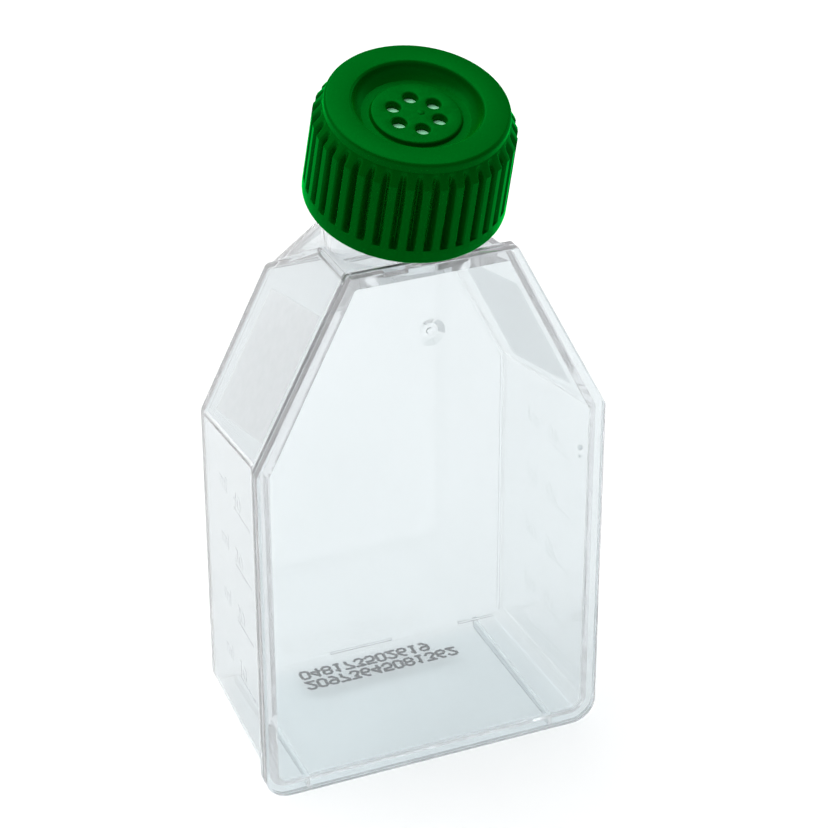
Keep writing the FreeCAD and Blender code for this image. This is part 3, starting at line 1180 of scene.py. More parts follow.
@dataclass(frozen=True)
class ThreadShape:
    """The helical ridges on the neck, in millimetres.

    Attributes:
        course: Where they run.
        crest: Radius of their crest.
        sunk: Radius that it reaches to inside the wall.
        foot_width: Width inside the wall.
        crest_width: Width at the crest.
        fade: Degrees over which the ends grow to full height.
        start_share: Share of the full height at the very ends.
        step: Degrees between two sections.
    """

    course: ThreadCourse
    crest: float
    sunk: float
    foot_width: float = 1.5
    crest_width: float = 0.55
    fade: float = 18.0
    start_share: float = 0.3
    step: float = 5.0

    def build(self, name: str, place: Matrix, start: int) -> bpy.types.Object:
        """Make one ridge.

        Args:
            name: The object's name.
            place: The mouth's frame.
            start: Which of the ridges.

        Returns:
            The ridge as a solid.
        """
        low, high, lead = self.course.low, self.course.high, self.course.lead
        begin = 360.0 * low / lead + 360.0 * start / self.course.starts
        total = 360.0 * (high - low) / lead
        count = round(total / self.step)
        rings = []
        for k in range(count + 1):
            turned = total * k / count
            height = low + lead * turned / 360.0
            grown = min(1.0, turned / self.fade, (total - turned) / self.fade)
            full = self.start_share + (1.0 - self.start_share) * math.sin(grown * math.pi / 2)
            crest = self.sunk + (self.crest - self.sunk) * full
            ring = [
                (self.sunk, -self.foot_width / 2),
                (crest, -self.crest_width / 2),
                (crest, self.crest_width / 2),
                (self.sunk, self.foot_width / 2),
            ]
            rings.append([on_cylinder(place, r, begin + turned, height + z) for r, z in ring])
        bm = bmesh.new()
        skin(bm, rings)
        return object_from(bm, name)


@dataclass(frozen=True)
class Graduations:
    """Raised volume marks on a side wall, in millimetres.

    Attributes:
        walls: The block that the walls follow.
        first: Height of the lowest line.
        pitch: From line to line.
        count: How many lines.
        step_ml: Millilitres from line to line.
        line: Depths of the line's ends.
        number: Depth of the number's middle.
        unit: Depth of the unit's middle.
        lift: From the line to the foot of the number.
        size: Height of the font.
        relief: How far the marks stand out.
        line_width: Thickness of a line.
        sunk: How far the marks reach into the wall.
    """

    walls: WallShape
    first: float = 11.8
    pitch: float = 9.1
    count: int = 4
    step_ml: int = 10
    line: tuple[float, float] = (11.7, 5.0)
    number: float = 10.3
    unit: float = 16.3
    lift: float = 0.7
    size: float = 3.4
    relief: float = 0.035
    line_width: float = 0.35
    sunk: float = 0.2

    def build(self, sign: int) -> list[bpy.types.Object]:
        """Make one wall's marks.

        Args:
            sign: 1 for +X, -1 for -X.

        Returns:
            The marks as solids that reach into the wall.
        """
        wall = self.walls.side(sign)
        across = Vector((0.0, float(sign), 0.0))
        marks = []
        for k in range(self.count):
            height = self.first + self.pitch * k
            for depth, text in ((self.number, str(self.step_ml * (k + 1))), (self.unit, "ml")):
                place = wall.frame(wall.lift("y", depth, "z", height + self.lift, "x"), across)
                middle = Matrix.Translation((0.0, 0.0, (self.relief - self.sunk) / 2))
                mark = written("mark", text, self.size, (self.relief + self.sunk) / 2)
                mark.data.transform(place @ middle)
                marks.append(mark)
            ends = [wall.lift("y", depth, "z", height, "x") for depth in self.line]
            rise = Vector((0.0, 0.0, self.line_width))
            corners = [ends[0], ends[1], ends[1] + rise, ends[0] + rise]
            marks.append(slab("line", corners, wall.normal, -self.sunk, self.relief))
        return marks


@dataclass(frozen=True)
class FlaskBody:
    """The moulded body: chamber, shoulders, flange, canted neck and foot ribs, in millimetres.

    Attributes:
        walls: The block that the walls follow.
        rim: Outline of the flange.
        axis: The neck's axis.
        course: Where the thread on the neck runs.
        thick: Thickness of the walls.
        flange: Depths of the flange's faces.
        flange_round: Radius of the flange's edges.
        neck_radius: Outside of the neck.
        bore_radius: Inside of the neck.
        neck_length: Root to mouth.
        neck_sink: How far the neck reaches into the ramp.
        bore_reach: How far the bore reaches past the neck's root.
        thread_height: How far the thread stands out of the neck.
        thread_sink: How far the thread reaches into the neck.
        lip: Radius of the mouth's edges.
        ramp_sink: How far the ramp reaches into the block.
        tuck: How much narrower the ramp ends than the neck.
        overlap: How far the block reaches into the flange.
        past: How far a cutter reaches past what it cuts.
        bottom_corner: Radius of the block's bottom corners.
        back_round: Radius round the growth wall.
        crease_round: Radius of the block's other edges.
        room_round: The same inside.
        round_steps: Faces across each of these edges.
        slack: How far from a face its own edges are looked for.
        foot_zone: Height under which an edge belongs to the bottom.
        foot_spread: Middle of the block to a foot rib.
        foot_width: Width of a foot rib.
        foot_setback: Growth wall to the end of a foot rib.
        foot_start: How far a foot rib reaches into the flange.
        fin: Width and height of the fin round the growth surface.
        fin_gap: Distance from the fin to the other walls.
        fin_breaks: Where the fin is missing along the bottom, from and to.
        weld_dots: Small drops of melt along the flange, as (across, height, radius).
        drop_faces: Faces round a drop and from pole to pole.
        segments: Faces round the neck.
    """

    walls: WallShape
    rim: RimShape
    axis: ScrewAxis
    course: ThreadCourse
    thick: float = 1.15
    flange: tuple[float, float] = (-0.6, 0.6)
    flange_round: float = 0.18
    neck_radius: float = 10.0
    bore_radius: float = 8.3
    neck_length: float = 21.05
    neck_sink: float = 3.0
    bore_reach: float = 6.0
    thread_height: float = 0.5
    thread_sink: float = 0.35
    lip: float = 0.4
    ramp_sink: float = 0.5
    tuck: float = 0.05
    overlap: float = 0.3
    past: float = 1.0
    bottom_corner: float = 2.6
    back_round: float = 0.7
    crease_round: float = 0.45
    room_round: float = 0.3
    round_steps: int = 8
    slack: float = 0.01
    foot_zone: float = 5.0
    foot_spread: float = 18.4
    foot_width: float = 0.6
    foot_setback: float = 0.3
    foot_start: float = 0.2
    fin: tuple[float, float] = (0.34, 0.50)
    fin_gap: float = 0.1
    fin_breaks: tuple[tuple[float, float], ...] = ((-19.0, -5.2), (4.4, 15.2))
    weld_dots: tuple[Point, ...] = ((22.3, 44.2, 0.38), (22.2, 42.9, 0.22), (23.4, 7.0, 0.40))
    drop_faces: tuple[int, int] = (20, 12)
    segments: int = 96

    def edge_radius(self, corner: float, back: float, crease: float) -> Callable[[Vector, Vector], float]:
        """Give the rule that sets each edge's radius.

        Args:
            corner: Radius of the bottom corners.
            back: Radius round the growth wall.
            crease: Radius of every other edge behind the flange.

        Returns:
            The rule.
        """
        rear = self.walls.back - self.thick - self.slack
        front = self.walls.front + self.slack

        def rule(a: Vector, b: Vector) -> float:
            """Give one edge's radius.

            Args:
                a: One end of the edge.
                b: Its other end.

            Returns:
                The radius, 0 for an edge of the front face.
            """
            if a.y < front and b.y < front:
                return 0.0
            if a.y > rear and b.y > rear:
                return back
            return corner if max(a.z, b.z) < self.foot_zone else crease

        return rule

    def block(self, name: str, inset: float, front: float, radii: Point) -> bpy.types.Object:
        """Make the chamber's outside or inside.

        Args:
            name: The object's name.
            inset: How far the faces move in.
            front: Depth of the front face.
            radii: Radii of the bottom corners, round the growth wall and of the creases.

        Returns:
            The solid.
        """
        solid = convex_solid(name, self.walls.planes(inset, front))
        round_edges(solid, self.edge_radius(*radii), self.round_steps)
        return solid

    def growth_frame(self) -> bpy.types.Object:
        """Make the low fin round the growth surface.

        Returns:
            The solid, sunk into the growth wall.
        """
        inner = self.walls.back - self.thick
        width, height = self.fin
        inset = self.thick + self.fin_gap
        near, far = inner - height, inner + self.thick / 3
        fin = convex_solid("fin", self.walls.planes(inset, near, far))
        inset += width
        middle = convex_solid("fin_middle", self.walls.planes(inset, near - self.past, far + self.past))
        combine(fin, [middle], BooleanKind.CUT)
        low, high = 0.0, self.walls.back_foot + self.thick + self.past
        reach = 2 * self.past
        gaps = [
            prism("gap", [(start, low), (end, low), (end, high), (start, high)], near - reach, far + reach)
            for start, end in self.fin_breaks
        ]
        combine(fin, gaps, BooleanKind.CUT)
        return fin

    def weld_dot(self, across: float, height: float, radius: float) -> bpy.types.Object:
        """Make a drop of melt on the inner edge of the flange.

        Args:
            across: Its place across.
            height: Its height.
            radius: Its radius.

        Returns:
            The drop.
        """
        round_it, up_it = self.drop_faces
        bm = bmesh.new()
        bmesh.ops.create_uvsphere(bm, u_segments=round_it, v_segments=up_it, radius=radius)
        bmesh.ops.translate(bm, verts=bm.verts, vec=(across, self.flange[1] + radius / 2, height))
        return object_from(bm, "weld_dot")

    def ramp(self, name: str, inset: float, radius: float, steps: int = 24) -> bpy.types.Object:
        """Make the transition from the ramp's four sides to the round neck.

        Args:
            name: The object's name.
            inset: How far the foot lies below the ramp's face.
            radius: Radius at the neck's root.
            steps: Points along each side.

        Returns:
            The solid.
        """
        depth, height = self.walls.crest
        normal = self.walls.ramp().normal
        down = Vector((0.0, normal.z, -normal.y))
        length = (self.walls.back - depth) / normal.z - inset
        origin = Vector((0.0, depth, height)) - normal * inset
        near = self.walls.ramp_half(depth, height, inset)
        far = self.walls.ramp_half(self.walls.back, self.walls.back_top, inset)
        across = Vector((1.0, 0.0, 0.0))
        corners = [
            origin + across * far + down * length,
            origin - across * far + down * length,
            origin - across * near,
            origin + across * near,
        ]
        root = self.axis.place(-self.neck_length)
        quarter = 90.0
        foot, ring = [], []
        for side in range(4):
            for k in range(steps):
                share = k / steps
                foot.append(corners[side].lerp(corners[(side + 1) % 4], share))
                ring.append(on_cylinder(root, radius, quarter / 2 + quarter * (side + share), 0.0))
        bm = bmesh.new()
        skin(bm, [foot, ring])
        return object_from(bm, name)

    def neck(self) -> bpy.types.Object:
        """Make the neck without its bore.

        Returns:
            The solid.
        """
        edge = arc((self.neck_radius - self.lip, -self.lip), self.lip, 0.0, 90.0, steps=4)
        foot = -self.neck_length - self.neck_sink
        return turned_solid("neck", [(self.neck_radius, foot), *edge], self.axis.place(), self.segments)

    def bore(self) -> bpy.types.Object:
        """Make what is cut out of the neck.

        Returns:
            The solid.
        """
        edge = arc((self.bore_radius + self.lip, -self.lip), self.lip, 180.0, 90.0, steps=4)
        foot = -self.neck_length - self.bore_reach
        profile = [(self.bore_radius, foot), *edge, (self.bore_radius + self.lip, self.past)]
        return turned_solid("bore", profile, self.axis.place(), self.segments)

    def foot_rib(self, sign: int) -> bpy.types.Object:
        """Make one of the two ribs that the end wall stands on.

        Args:
            sign: 1 for +X, -1 for -X.

        Returns:
            The solid.
        """
        near = sign * self.foot_spread - self.foot_width / 2
        far = near + self.foot_width
        top = self.walls.back_foot + self.thick / 2
        outline = [(near, 0.0), (far, 0.0), (far, top), (near, top)]
        front, back = self.walls.front - self.foot_start, self.walls.back - self.foot_setback
        return prism("foot_rib", outline, front, back)

    def build(self) -> bpy.types.Object:
        """Make the body and dress it.

        Returns:
            The finished piece.
        """
        radii = (self.bottom_corner, self.back_round, self.crease_round)
        body = self.block("clear_flask_body", 0.0, self.walls.front - self.overlap, radii)
        flange = prism("flange", self.rim.outline(), *self.flange)
        round_edges(flange, face_edges(self.flange_round))
        crest, sunk = self.neck_radius + self.thread_height, self.neck_radius - self.thread_sink
        thread = ThreadShape(self.course, crest, sunk)
        ridges = [thread.build("ridge", self.axis.place(), start) for start in range(self.course.starts)]
        ramp = self.ramp("ramp", self.ramp_sink, self.neck_radius - self.tuck)
        feet = [self.foot_rib(-1), self.foot_rib(1)]
        marks = [mark for sign in (-1, 1) for mark in Graduations(self.walls).build(sign)]
        combine(body, [ramp, self.neck(), flange, *ridges, *feet, *marks], BooleanKind.UNION)
        radii = (self.bottom_corner - self.thick, self.back_round / 2, self.room_round)
        room = self.block("room", self.thick, self.flange[0] - self.past, radii)
        inner = self.ramp("ramp_room", self.thick + self.ramp_sink, self.bore_radius - self.tuck)
        combine(room, [inner, self.bore()], BooleanKind.UNION)
        combine(body, [room], BooleanKind.CUT)
        drops = [self.weld_dot(*dot) for dot in self.weld_dots]
        combine(body, [self.growth_frame(), *drops], BooleanKind.UNION)
        finish_solid(body, CLEAR_CREASE)
        dress(body, CLEAR_BODY)
        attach(body, "flask")
        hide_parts("flask_body")
        return body


@dataclass(frozen=True)
class TopPlate:
    """The plate that is welded over the front of the body, in millimetres.

    Attributes:
        rim: Its outline.
        front: Depth of its front face.
        back: Depth of its back face, a weld line off the flange.
        rounding: Radius of the edges round its front and back face.
        round_steps: Faces across those edges.
        gate: Across and height of the gate dimple.
        gate_radius: Radius of the dimple's mouth.
        gate_foot: Radius of the dimple's floor.
        gate_depth: Depth of the dimple.
        flare: How far the dimple's cutter goes on past the front face.
        nub_radius: Radius of the nub in the dimple.
        nub_height: Height of the nub.
        nub_soft: Size of the nub's edge.
        nub_sink: How far the nub reaches into the plate.
        notch: Ends of the notch in the top edge, across.
        notch_depth: Depth of the notch.
        past: How far a cutter reaches past what it cuts.
        gate_sides: Faces round the dimple.
        nub_sides: Faces round the nub.
    """

    rim: RimShape
    front: float = -1.8
    back: float = -0.62
    rounding: float = 0.22
    round_steps: int = 5
    gate: tuple[float, float] = (-0.65, 67.5)
    gate_radius: float = 1.95
    gate_foot: float = 1.15
    gate_depth: float = 0.45
    flare: float = 0.3
    nub_radius: float = 0.5
    nub_height: float = 0.25
    nub_soft: float = 0.15
    nub_sink: float = 0.3
    notch: tuple[float, float] = (-7.0, -3.8)
    notch_depth: float = 0.6
    past: float = 1.0
    gate_sides: int = 48
    nub_sides: int = 32

    def gate_place(self) -> Matrix:
        """Give a frame on the gate's floor, whose Z points out of the front."""
        floor = Vector((self.gate[0], self.front + self.gate_depth, self.gate[1]))
        return Matrix.Translation(floor) @ Matrix.Rotation(math.radians(90.0), 4, "X")

    def dimple(self) -> bpy.types.Object:
        """Make what is cut out of the plate for the gate's dimple.

        Returns:
            The solid.
        """
        radius, depth = self.gate_radius, self.gate_depth
        profile = [(self.gate_foot, 0.0), (radius, depth), (radius + self.flare, depth + self.flare)]
        return turned_solid("dimple", profile, self.gate_place(), self.gate_sides)

    def nub(self) -> bpy.types.Object:
        """Make the nub in the middle of the dimple.

        Returns:
            The solid, sunk into the plate.
        """
        profile = [
            (self.nub_radius, -self.nub_sink),
            (self.nub_radius, self.nub_height - self.nub_soft / 2),
            (self.nub_radius - self.nub_soft, self.nub_height),
        ]
        return turned_solid("nub", profile, self.gate_place(), self.nub_sides)

    def edge_notch(self) -> bpy.types.Object:
        """Make what is cut out of the plate's top edge.

        Returns:
            The solid.
        """
        low, high = self.notch
        base, top = self.rim.top - self.notch_depth, self.rim.top + self.past
        outline = [(low, base), (high, base), (high, top), (low, top)]
        return prism("notch", outline, self.front - self.past, self.back + self.past)

    def build(self) -> bpy.types.Object:
        """Make the plate and dress it.

        Returns:
            The finished piece.
        """
        plate = prism("clear_top_plate", self.rim.outline(), self.front, self.back)
        round_edges(plate, face_edges(self.rounding), self.round_steps)
        combine(plate, [self.dimple(), self.edge_notch()], BooleanKind.CUT)
        combine(plate, [self.nub()], BooleanKind.UNION)
        finish_solid(plate, CLEAR_CREASE)
        dress(plate, CLEAR_PLATE)
        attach(plate, "flask")
        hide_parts("top_plate")
        return plate


@dataclass(frozen=True)
class WritingArea:
    """The etched patch on a shoulder, in millimetres.

    Attributes:
        walls: The block that the shoulders belong to.
        across: Distances of its edges from the middle.
        depths: Depths of its other edges.
        film: Heights of the patch's two faces over the shoulder.
    """

    walls: WallShape
    across: tuple[float, float] = (14.06, 22.4)
    depths: tuple[float, float] = (2.8, 20.7)
    film: tuple[float, float] = (0.01, 0.035)

    def build(self, sign: int) -> bpy.types.Object:
        """Make one shoulder's patch and dress it.

        Args:
            sign: 1 for +X, -1 for -X.

        Returns:
            The finished piece.
        """
        face = self.walls.shoulder(sign)
        (inner, outer), (near, far) = self.across, self.depths
        outline = ((inner, near), (outer, near), (outer, far), (inner, far))
        corners = [face.lift("x", sign * across, "y", depth, "z") for across, depth in outline]
        name = "writing_area_left" if sign < 0 else "writing_area_right"
        patch = slab(name, corners, face.normal, *self.film)
        finish_solid(patch, FILM_CREASE)
        dress(patch, WRITING_FILM)
        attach(patch, "flask")
        return patch


# rows of a plain dot-matrix digit, top first, where # is a dot
DIGITS = {
    "0": ".###. #...# #...# #...# #...# #...# .###.",
    "1": "..#.. .##.. ..#.. ..#.. ..#.. ..#.. .###.",
    "2": ".###. #...# ....# ...#. ..#.. .#... #####",
    "3": "##### ...#. ..#.. ...#. ....# #...# .###.",
    "4": "...#. ..##. .#.#. #..#. ##### ...#. ...#.",
    "5": "##### #.... ####. ....# ....# #...# .###.",
    "6": "..##. .#... #.... ####. #...# #...# .###.",
    "7": "##### ....# ...#. ..#.. .#... .#... .#...",
    "8": ".###. #...# #...# .###. #...# #...# .###.",
    "9": ".###. #...# #...# .#### ....# ...#. .##..",
}


@dataclass(frozen=True)
class EndWallPrint:
    """Two rows of plain digits in ink dots under the end wall, read from below, in millimetres.

    Attributes:
        walls: The block that the end wall belongs to.
        rows: Each row's digits and the depth of their feet.
        start: Where the rows start, across.
        pitch: From digit to digit.
        dot_pitch: From dot to dot, across and along.
        dot_radius: Radius of a dot.
        film: Heights of a dot's two faces under the wall.
        spread: Largest wander of a dot from its place.
        swing: How the wander turns from dot to dot, across and along, in radians.
        sides: Corners of a dot.
        merge: Points closer than this become one.
    """

    walls: WallShape
    rows: tuple[tuple[str, float], ...] = (("048173502619", 23.1), ("20973645081362", 20.5))
    start: float = -10.9
    pitch: float = 1.7
    dot_pitch: tuple[float, float] = (0.29, 0.29)
    dot_radius: float = 0.255
    film: tuple[float, float] = (0.01, 0.03)
    spread: float = 0.02
    swing: tuple[float, float] = (2.4, 1.7)
    sides: int = 10
    merge: float = 1e-6

    def dots(self) -> list[tuple[float, float]]:
        """Place every dot.

        Returns:
            Places as (across, depth).
        """
        places = []
        step, drop = self.dot_pitch
        for text, depth in self.rows:
            for place, digit in enumerate(text):
                for row, line in enumerate(reversed(DIGITS[digit].split())):
                    places += [
                        (self.start + self.pitch * place + step * column, depth - drop * row)
                        for column, mark in enumerate(line)
                        if mark == "#"
                    ]
        return places

    def build(self) -> bpy.types.Object:
        """Make the print and dress it.

        Returns:
            The finished piece.
        """
        under = self.walls.foot()
        turns = [2 * math.pi * i / self.sides for i in range(self.sides)]
        bm = bmesh.new()
        for k, (across, depth) in enumerate(self.dots()):
            x = across + self.spread * math.sin(k * self.swing[0])
            y = depth + self.spread * math.cos(k * self.swing[1])
            middle = under.lift("x", x, "y", y, "z")
            ring = [middle + Vector((math.cos(a), math.sin(a), 0.0)) * self.dot_radius for a in turns]
            skin(bm, [[point + under.normal * height for point in ring] for height in self.film])
        ink = object_from(bm, "end_wall_print")
        finish_solid(ink, FILM_CREASE, merge=self.merge)
        dress(ink, PRINT_INK)
        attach(ink, "flask")
        return ink


# ---------------------------------------------------------------- the cap


# shares of the way at which each part of the cap's profile has its rows
GROOVE_END_ROWS = (0.0, 0.06, 0.16, 0.3, 0.5, 0.75, 1.0)
RIB_ROWS = (0.25, 0.5, 0.75, 0.93, 0.97, 1.0)
SLOPE_ROWS = (0.05, 0.15, 0.3, 0.45, 0.6, 0.7, 0.8, 0.9, 1.0)
RECESS_ROWS = (0.2, 0.4, 0.6, 0.8, 0.93)
SPRUE_ROWS = (0.0, 0.2, 0.4, 0.6, 0.8, 0.93)


@dataclass(frozen=True)
class VentedCap:
    """The ribbed screw cap with a plug inside and six vents in its sunk floor.

    Heights are from the mouth, along the neck's axis, in millimetres.

    Attributes:
        axis: The neck's axis.
        course: Where the thread in the bore runs.
        top: Height of the disc.
        bottom: Height of the skirt's edge.
        skirt_round: Radius of the skirt's outer edge.
        bore_bevel: Width and height of the bevel at the foot of the bore.
        disc_radius: Radius of the disc.
        disc_round: Radius of the disc's edge.
        collar_drop: Disc to the top of the ribs' slope.
        crest_top: Radius over the ribs at the foot of their slope, and its drop from the disc.
        crest_foot: Radius over the ribs at the bottom.
        groove_radius: Radius at the bottom of the grooves.
        groove_end: Disc to the lower end of the grooves.
        groove_run: Length of a groove's curved lower end.
        groove_flat: Middle of a groove to the foot of its flank, as a share of the ribs' pitch.
        groove_half: The same to the top of its flank.
        crest_shares: Columns on a rib's crest, as shares of the pitch.
        flank_steps: Columns on a groove's flank.
        ribs: How many ribs.
        phase: Angle of the first groove.
        recess_radius: Rim of the recess.
        recess_round: Radius of the recess's rim.
        recess_shift: Rim to the middle of that rounding, as a share of its radius.
        recess_turn: Angle in degrees at which the rounding ends.
        bow: How far the recess's wall bows out, and the share of that by which it sags.
        moat: Radius and drop of the recess's foot.
        moat_floor: Foot of the recess to the lowest ring, its sag, and the gap to the vented floor.
        floor: Radius and drop of the vented floor.
        floor_round: Radius of the vented floor's edge.
        ceiling: Height of the plug's underside.
        plug_radius: Radius of the plug.
        seal: Height of the face that rests on the mouth.
        bore_radius: Radius of the bore.
        soft: Size of the small edges inside the cap.
        vents: How many vents.
        vent_radius: Radius of a vent.
        vent_round: Radius of a vent's edge.
        vent_circle: Radius of the circle that the vents lie on.
        vent_phase: Angle of the first vent.
        vent_sides: Faces round a vent.
        sprue: Place across, radius and height of the sprue stub.
        sprue_sides: Faces round the stub.
        bulge: How far the thread stands into the bore.
        ridge_half: Middle of a ridge to the foot of its flank.
        ridge_flank: Width of a ridge's flank.
        ridge_fade: Length over which a ridge's ends grow to full height.
        bore_rows: Steps down the thread.
    """

    axis: ScrewAxis
    course: ThreadCourse
    top: float = 1.45
    bottom: float = -13.58
    skirt_round: float = 0.35
    bore_bevel: tuple[float, float] = (0.3, 0.4)
    disc_radius: float = 11.85
    disc_round: float = 0.5
    collar_drop: float = 1.25
    crest_top: tuple[float, float] = (13.03, 3.1)
    crest_foot: float = 13.24
    groove_radius: float = 11.95
    groove_end: float = 12.9
    groove_run: float = 0.9
    groove_flat: float = 0.02
    groove_half: float = 0.31
    crest_shares: tuple[float, float] = (0.42, 0.5)
    flank_steps: int = 6
    ribs: int = 38
    phase: float = 3.8
    recess_radius: float = 8.4
    recess_round: float = 0.45
    recess_shift: float = 0.6
    recess_turn: float = 172.0
    bow: tuple[float, float] = (0.22, 0.4)
    moat: tuple[float, float] = (7.0, 2.05)
    moat_floor: Point = (0.2, 0.01, 0.12)
    floor: tuple[float, float] = (5.85, 1.52)
    floor_round: float = 0.3
    ceiling: float = -1.07
    plug_radius: float = 8.0
    seal: float = 0.05
    bore_radius: float = 10.9
    soft: float = 0.15
    vents: int = 6
    vent_radius: float = 0.92
    vent_round: float = 0.30
    vent_circle: float = 3.05
    vent_phase: float = 22.9
    vent_sides: int = 40
    sprue: Point = (0.6, 0.5, 0.13)
    sprue_sides: int = 24
    bulge: float = 0.72
    ridge_half: float = 0.75
    ridge_flank: float = 0.45
    ridge_fade: float = 0.8
    bore_rows: int = 30

    def columns(self) -> list[tuple[float, float]]:
        """Give the angle and groove depth of every column of points.

        Returns:
            (radians, depth from 0 to 1) all the way round.
        """
        flat, crest, steps = self.groove_flat, self.groove_half, self.flank_steps
        flank = [flat + (crest - flat) * k / steps for k in range(1, steps + 1)]
        half = [0.0, flat, *flank, *self.crest_shares]
        shares = half + [1.0 - share for share in reversed(half[1:-1])]
        pitch = 2 * math.pi / self.ribs
        start = math.radians(self.phase)

        def depth(share: float) -> float:
            """Tell how deep the groove is at a share of the pitch, from 0 to 1."""
            rise = min(1.0, max(0.0, (crest - min(share, 1.0 - share)) / (crest - flat)))
            return rise * rise * (3.0 - 2.0 * rise)

        places = [(rib, share) for rib in range(self.ribs) for share in shares]
        return [(start + pitch * (rib + share), depth(share)) for rib, share in places]

    def crest_at(self, height: float) -> float:
        """Give the radius over the ribs at a height.

        Args:
            height: The height.

        Returns:
            The radius.
        """
        rise, drop = self.crest_top
        share = (height - self.bottom) / (self.top - drop - self.bottom)
        return self.crest_foot + (rise - self.crest_foot) * min(1.0, max(0.0, share))

    def outside(self) -> list[tuple[float, float, float]]:
        """Give the outer profile from the bottom edge up to the disc.

        Returns:
            Rows as (crest radius, groove radius, height).
        """
        edge = self.skirt_round
        skirt = arc((self.crest_foot - edge, self.bottom + edge), edge, -90.0, 0.0, steps=4)
        rows = [(radius, radius, height) for radius, height in skirt]
        rise, drop = self.crest_top
        slant, end, collar = self.top - drop, self.top - self.groove_end, self.top - self.collar_drop
        for share in GROOVE_END_ROWS:
            height = end + self.groove_run * share
            crest = self.crest_at(height)
            deep = math.sqrt(1.0 - (1.0 - share) ** 2)
            rows.append((crest, crest + (self.groove_radius - crest) * deep, height))
        for share in RIB_ROWS:
            height = end + self.groove_run + (slant - end - self.groove_run) * share
            rows.append((self.crest_at(height), self.groove_radius, height))
        for share in SLOPE_ROWS:
            radius = rise + (self.disc_radius - rise) * share
            height = slant + (collar - slant) * share
            rows.append((radius, min(radius, self.groove_radius), height))
        centre = (self.disc_radius - self.disc_round, self.top - self.disc_round)
        disc = arc(centre, self.disc_round, 0.0, 90.0, steps=6)
        return rows + [(radius, radius, height) for radius, height in disc]

    def recess(self) -> list[tuple[float, float]]:
        """Give the profile from the disc down to the vented floor.

        Returns:
            Points as (radius, height).
        """
        rim, soft = self.recess_round, self.floor_round
        foot, drop = self.moat
        low = self.top - drop
        inner, fall = self.floor
        centre = (self.recess_radius + rim * self.recess_shift, self.top - rim)
        rows = arc(centre, rim, 90.0, self.recess_turn, steps=5)
        wall, bend = rows[-1]
        most, sag = self.bow
        for share in RECESS_ROWS:
            bow = math.sin(math.pi * share) * most
            rows.append((wall + (foot - wall) * share + bow, bend + (low - bend) * share - bow * sag))
        ring, dip, gap = self.moat_floor
        rows += [(foot, low), (foot - ring, low - dip), (inner + gap, low)]
        return rows + arc((inner - soft, self.top - fall - soft), soft, 0.0, 90.0, steps=5)

    def inside(self) -> list[tuple[float, float]]:
        """Give the underside's profile from the plug out to the top of the bore.

        Returns:
            Points as (radius, height).
        """
        soft = self.soft
        rows = arc((self.plug_radius - soft, self.ceiling + soft), soft, -90.0, 0.0, steps=2)
        rows += [(self.plug_radius, self.seal - soft), (self.plug_radius + soft, self.seal)]
        return rows + [(self.bore_radius - soft, self.seal), (self.bore_radius, self.seal - soft)]

    def thread_at(self, turn: float, height: float) -> float:
        """Tell how far the thread stands into the bore.

        Args:
            turn: Angle in radians.
            height: The height.

        Returns:
            The bulge, half a pitch off the neck's own thread.
        """
        low, high, lead = self.course.low, self.course.high, self.course.lead
        pitch = lead / self.course.starts
        along = (height - lead * turn / (2 * math.pi)) / pitch - 0.5
        off = abs(along - round(along)) * pitch
        ridge = min(1.0, max(0.0, (self.ridge_half - off) / self.ridge_flank))
        fade = min(1.0, max(0.0, min(height - low, high - height) / self.ridge_fade))
        return self.bulge * ridge * fade

    def vent_rings(self, place: Matrix, index: int) -> list[list[Vector]]:
        """Give the rings of one vent from the floor's face down to the ceiling.

        Args:
            place: The mouth's frame.
            index: Which vent.

        Returns:
            The rings.
        """
        face = self.top - self.floor[1]
        middle = math.radians(self.vent_phase + 360.0 * index / self.vents)
        centre = Vector((self.vent_circle * math.cos(middle), self.vent_circle * math.sin(middle), 0.0))
        wide = self.vent_radius + self.vent_round
        profile = arc((wide, face - self.vent_round), self.vent_round, 90.0, 180.0, steps=4)
        profile.append((self.vent_radius, self.ceiling))
        turns = [2 * math.pi * k / self.vent_sides for k in range(self.vent_sides)]
        return [
            [place @ (centre + Vector((r * math.cos(a), r * math.sin(a), height))) for a in turns]
            for r, height in profile
        ]

    def sprue_rings(self, place: Matrix) -> list[list[Vector]]:
        """Give the rings of the sprue stub from the floor's face up.

        Args:
            place: The mouth's frame.

        Returns:
            The rings.
        """
        across, radius, rise = self.sprue
        face = self.top - self.floor[1]
        middle = place @ Matrix.Translation((across, 0.0, 0.0))
        turns = [360.0 * k / self.sprue_sides for k in range(self.sprue_sides)]
        lifts = [share * math.pi / 2 for share in SPRUE_ROWS]
        return [
            [on_cylinder(middle, radius * math.cos(a), turn, face + rise * math.sin(a)) for turn in turns]
            for a in lifts
        ]

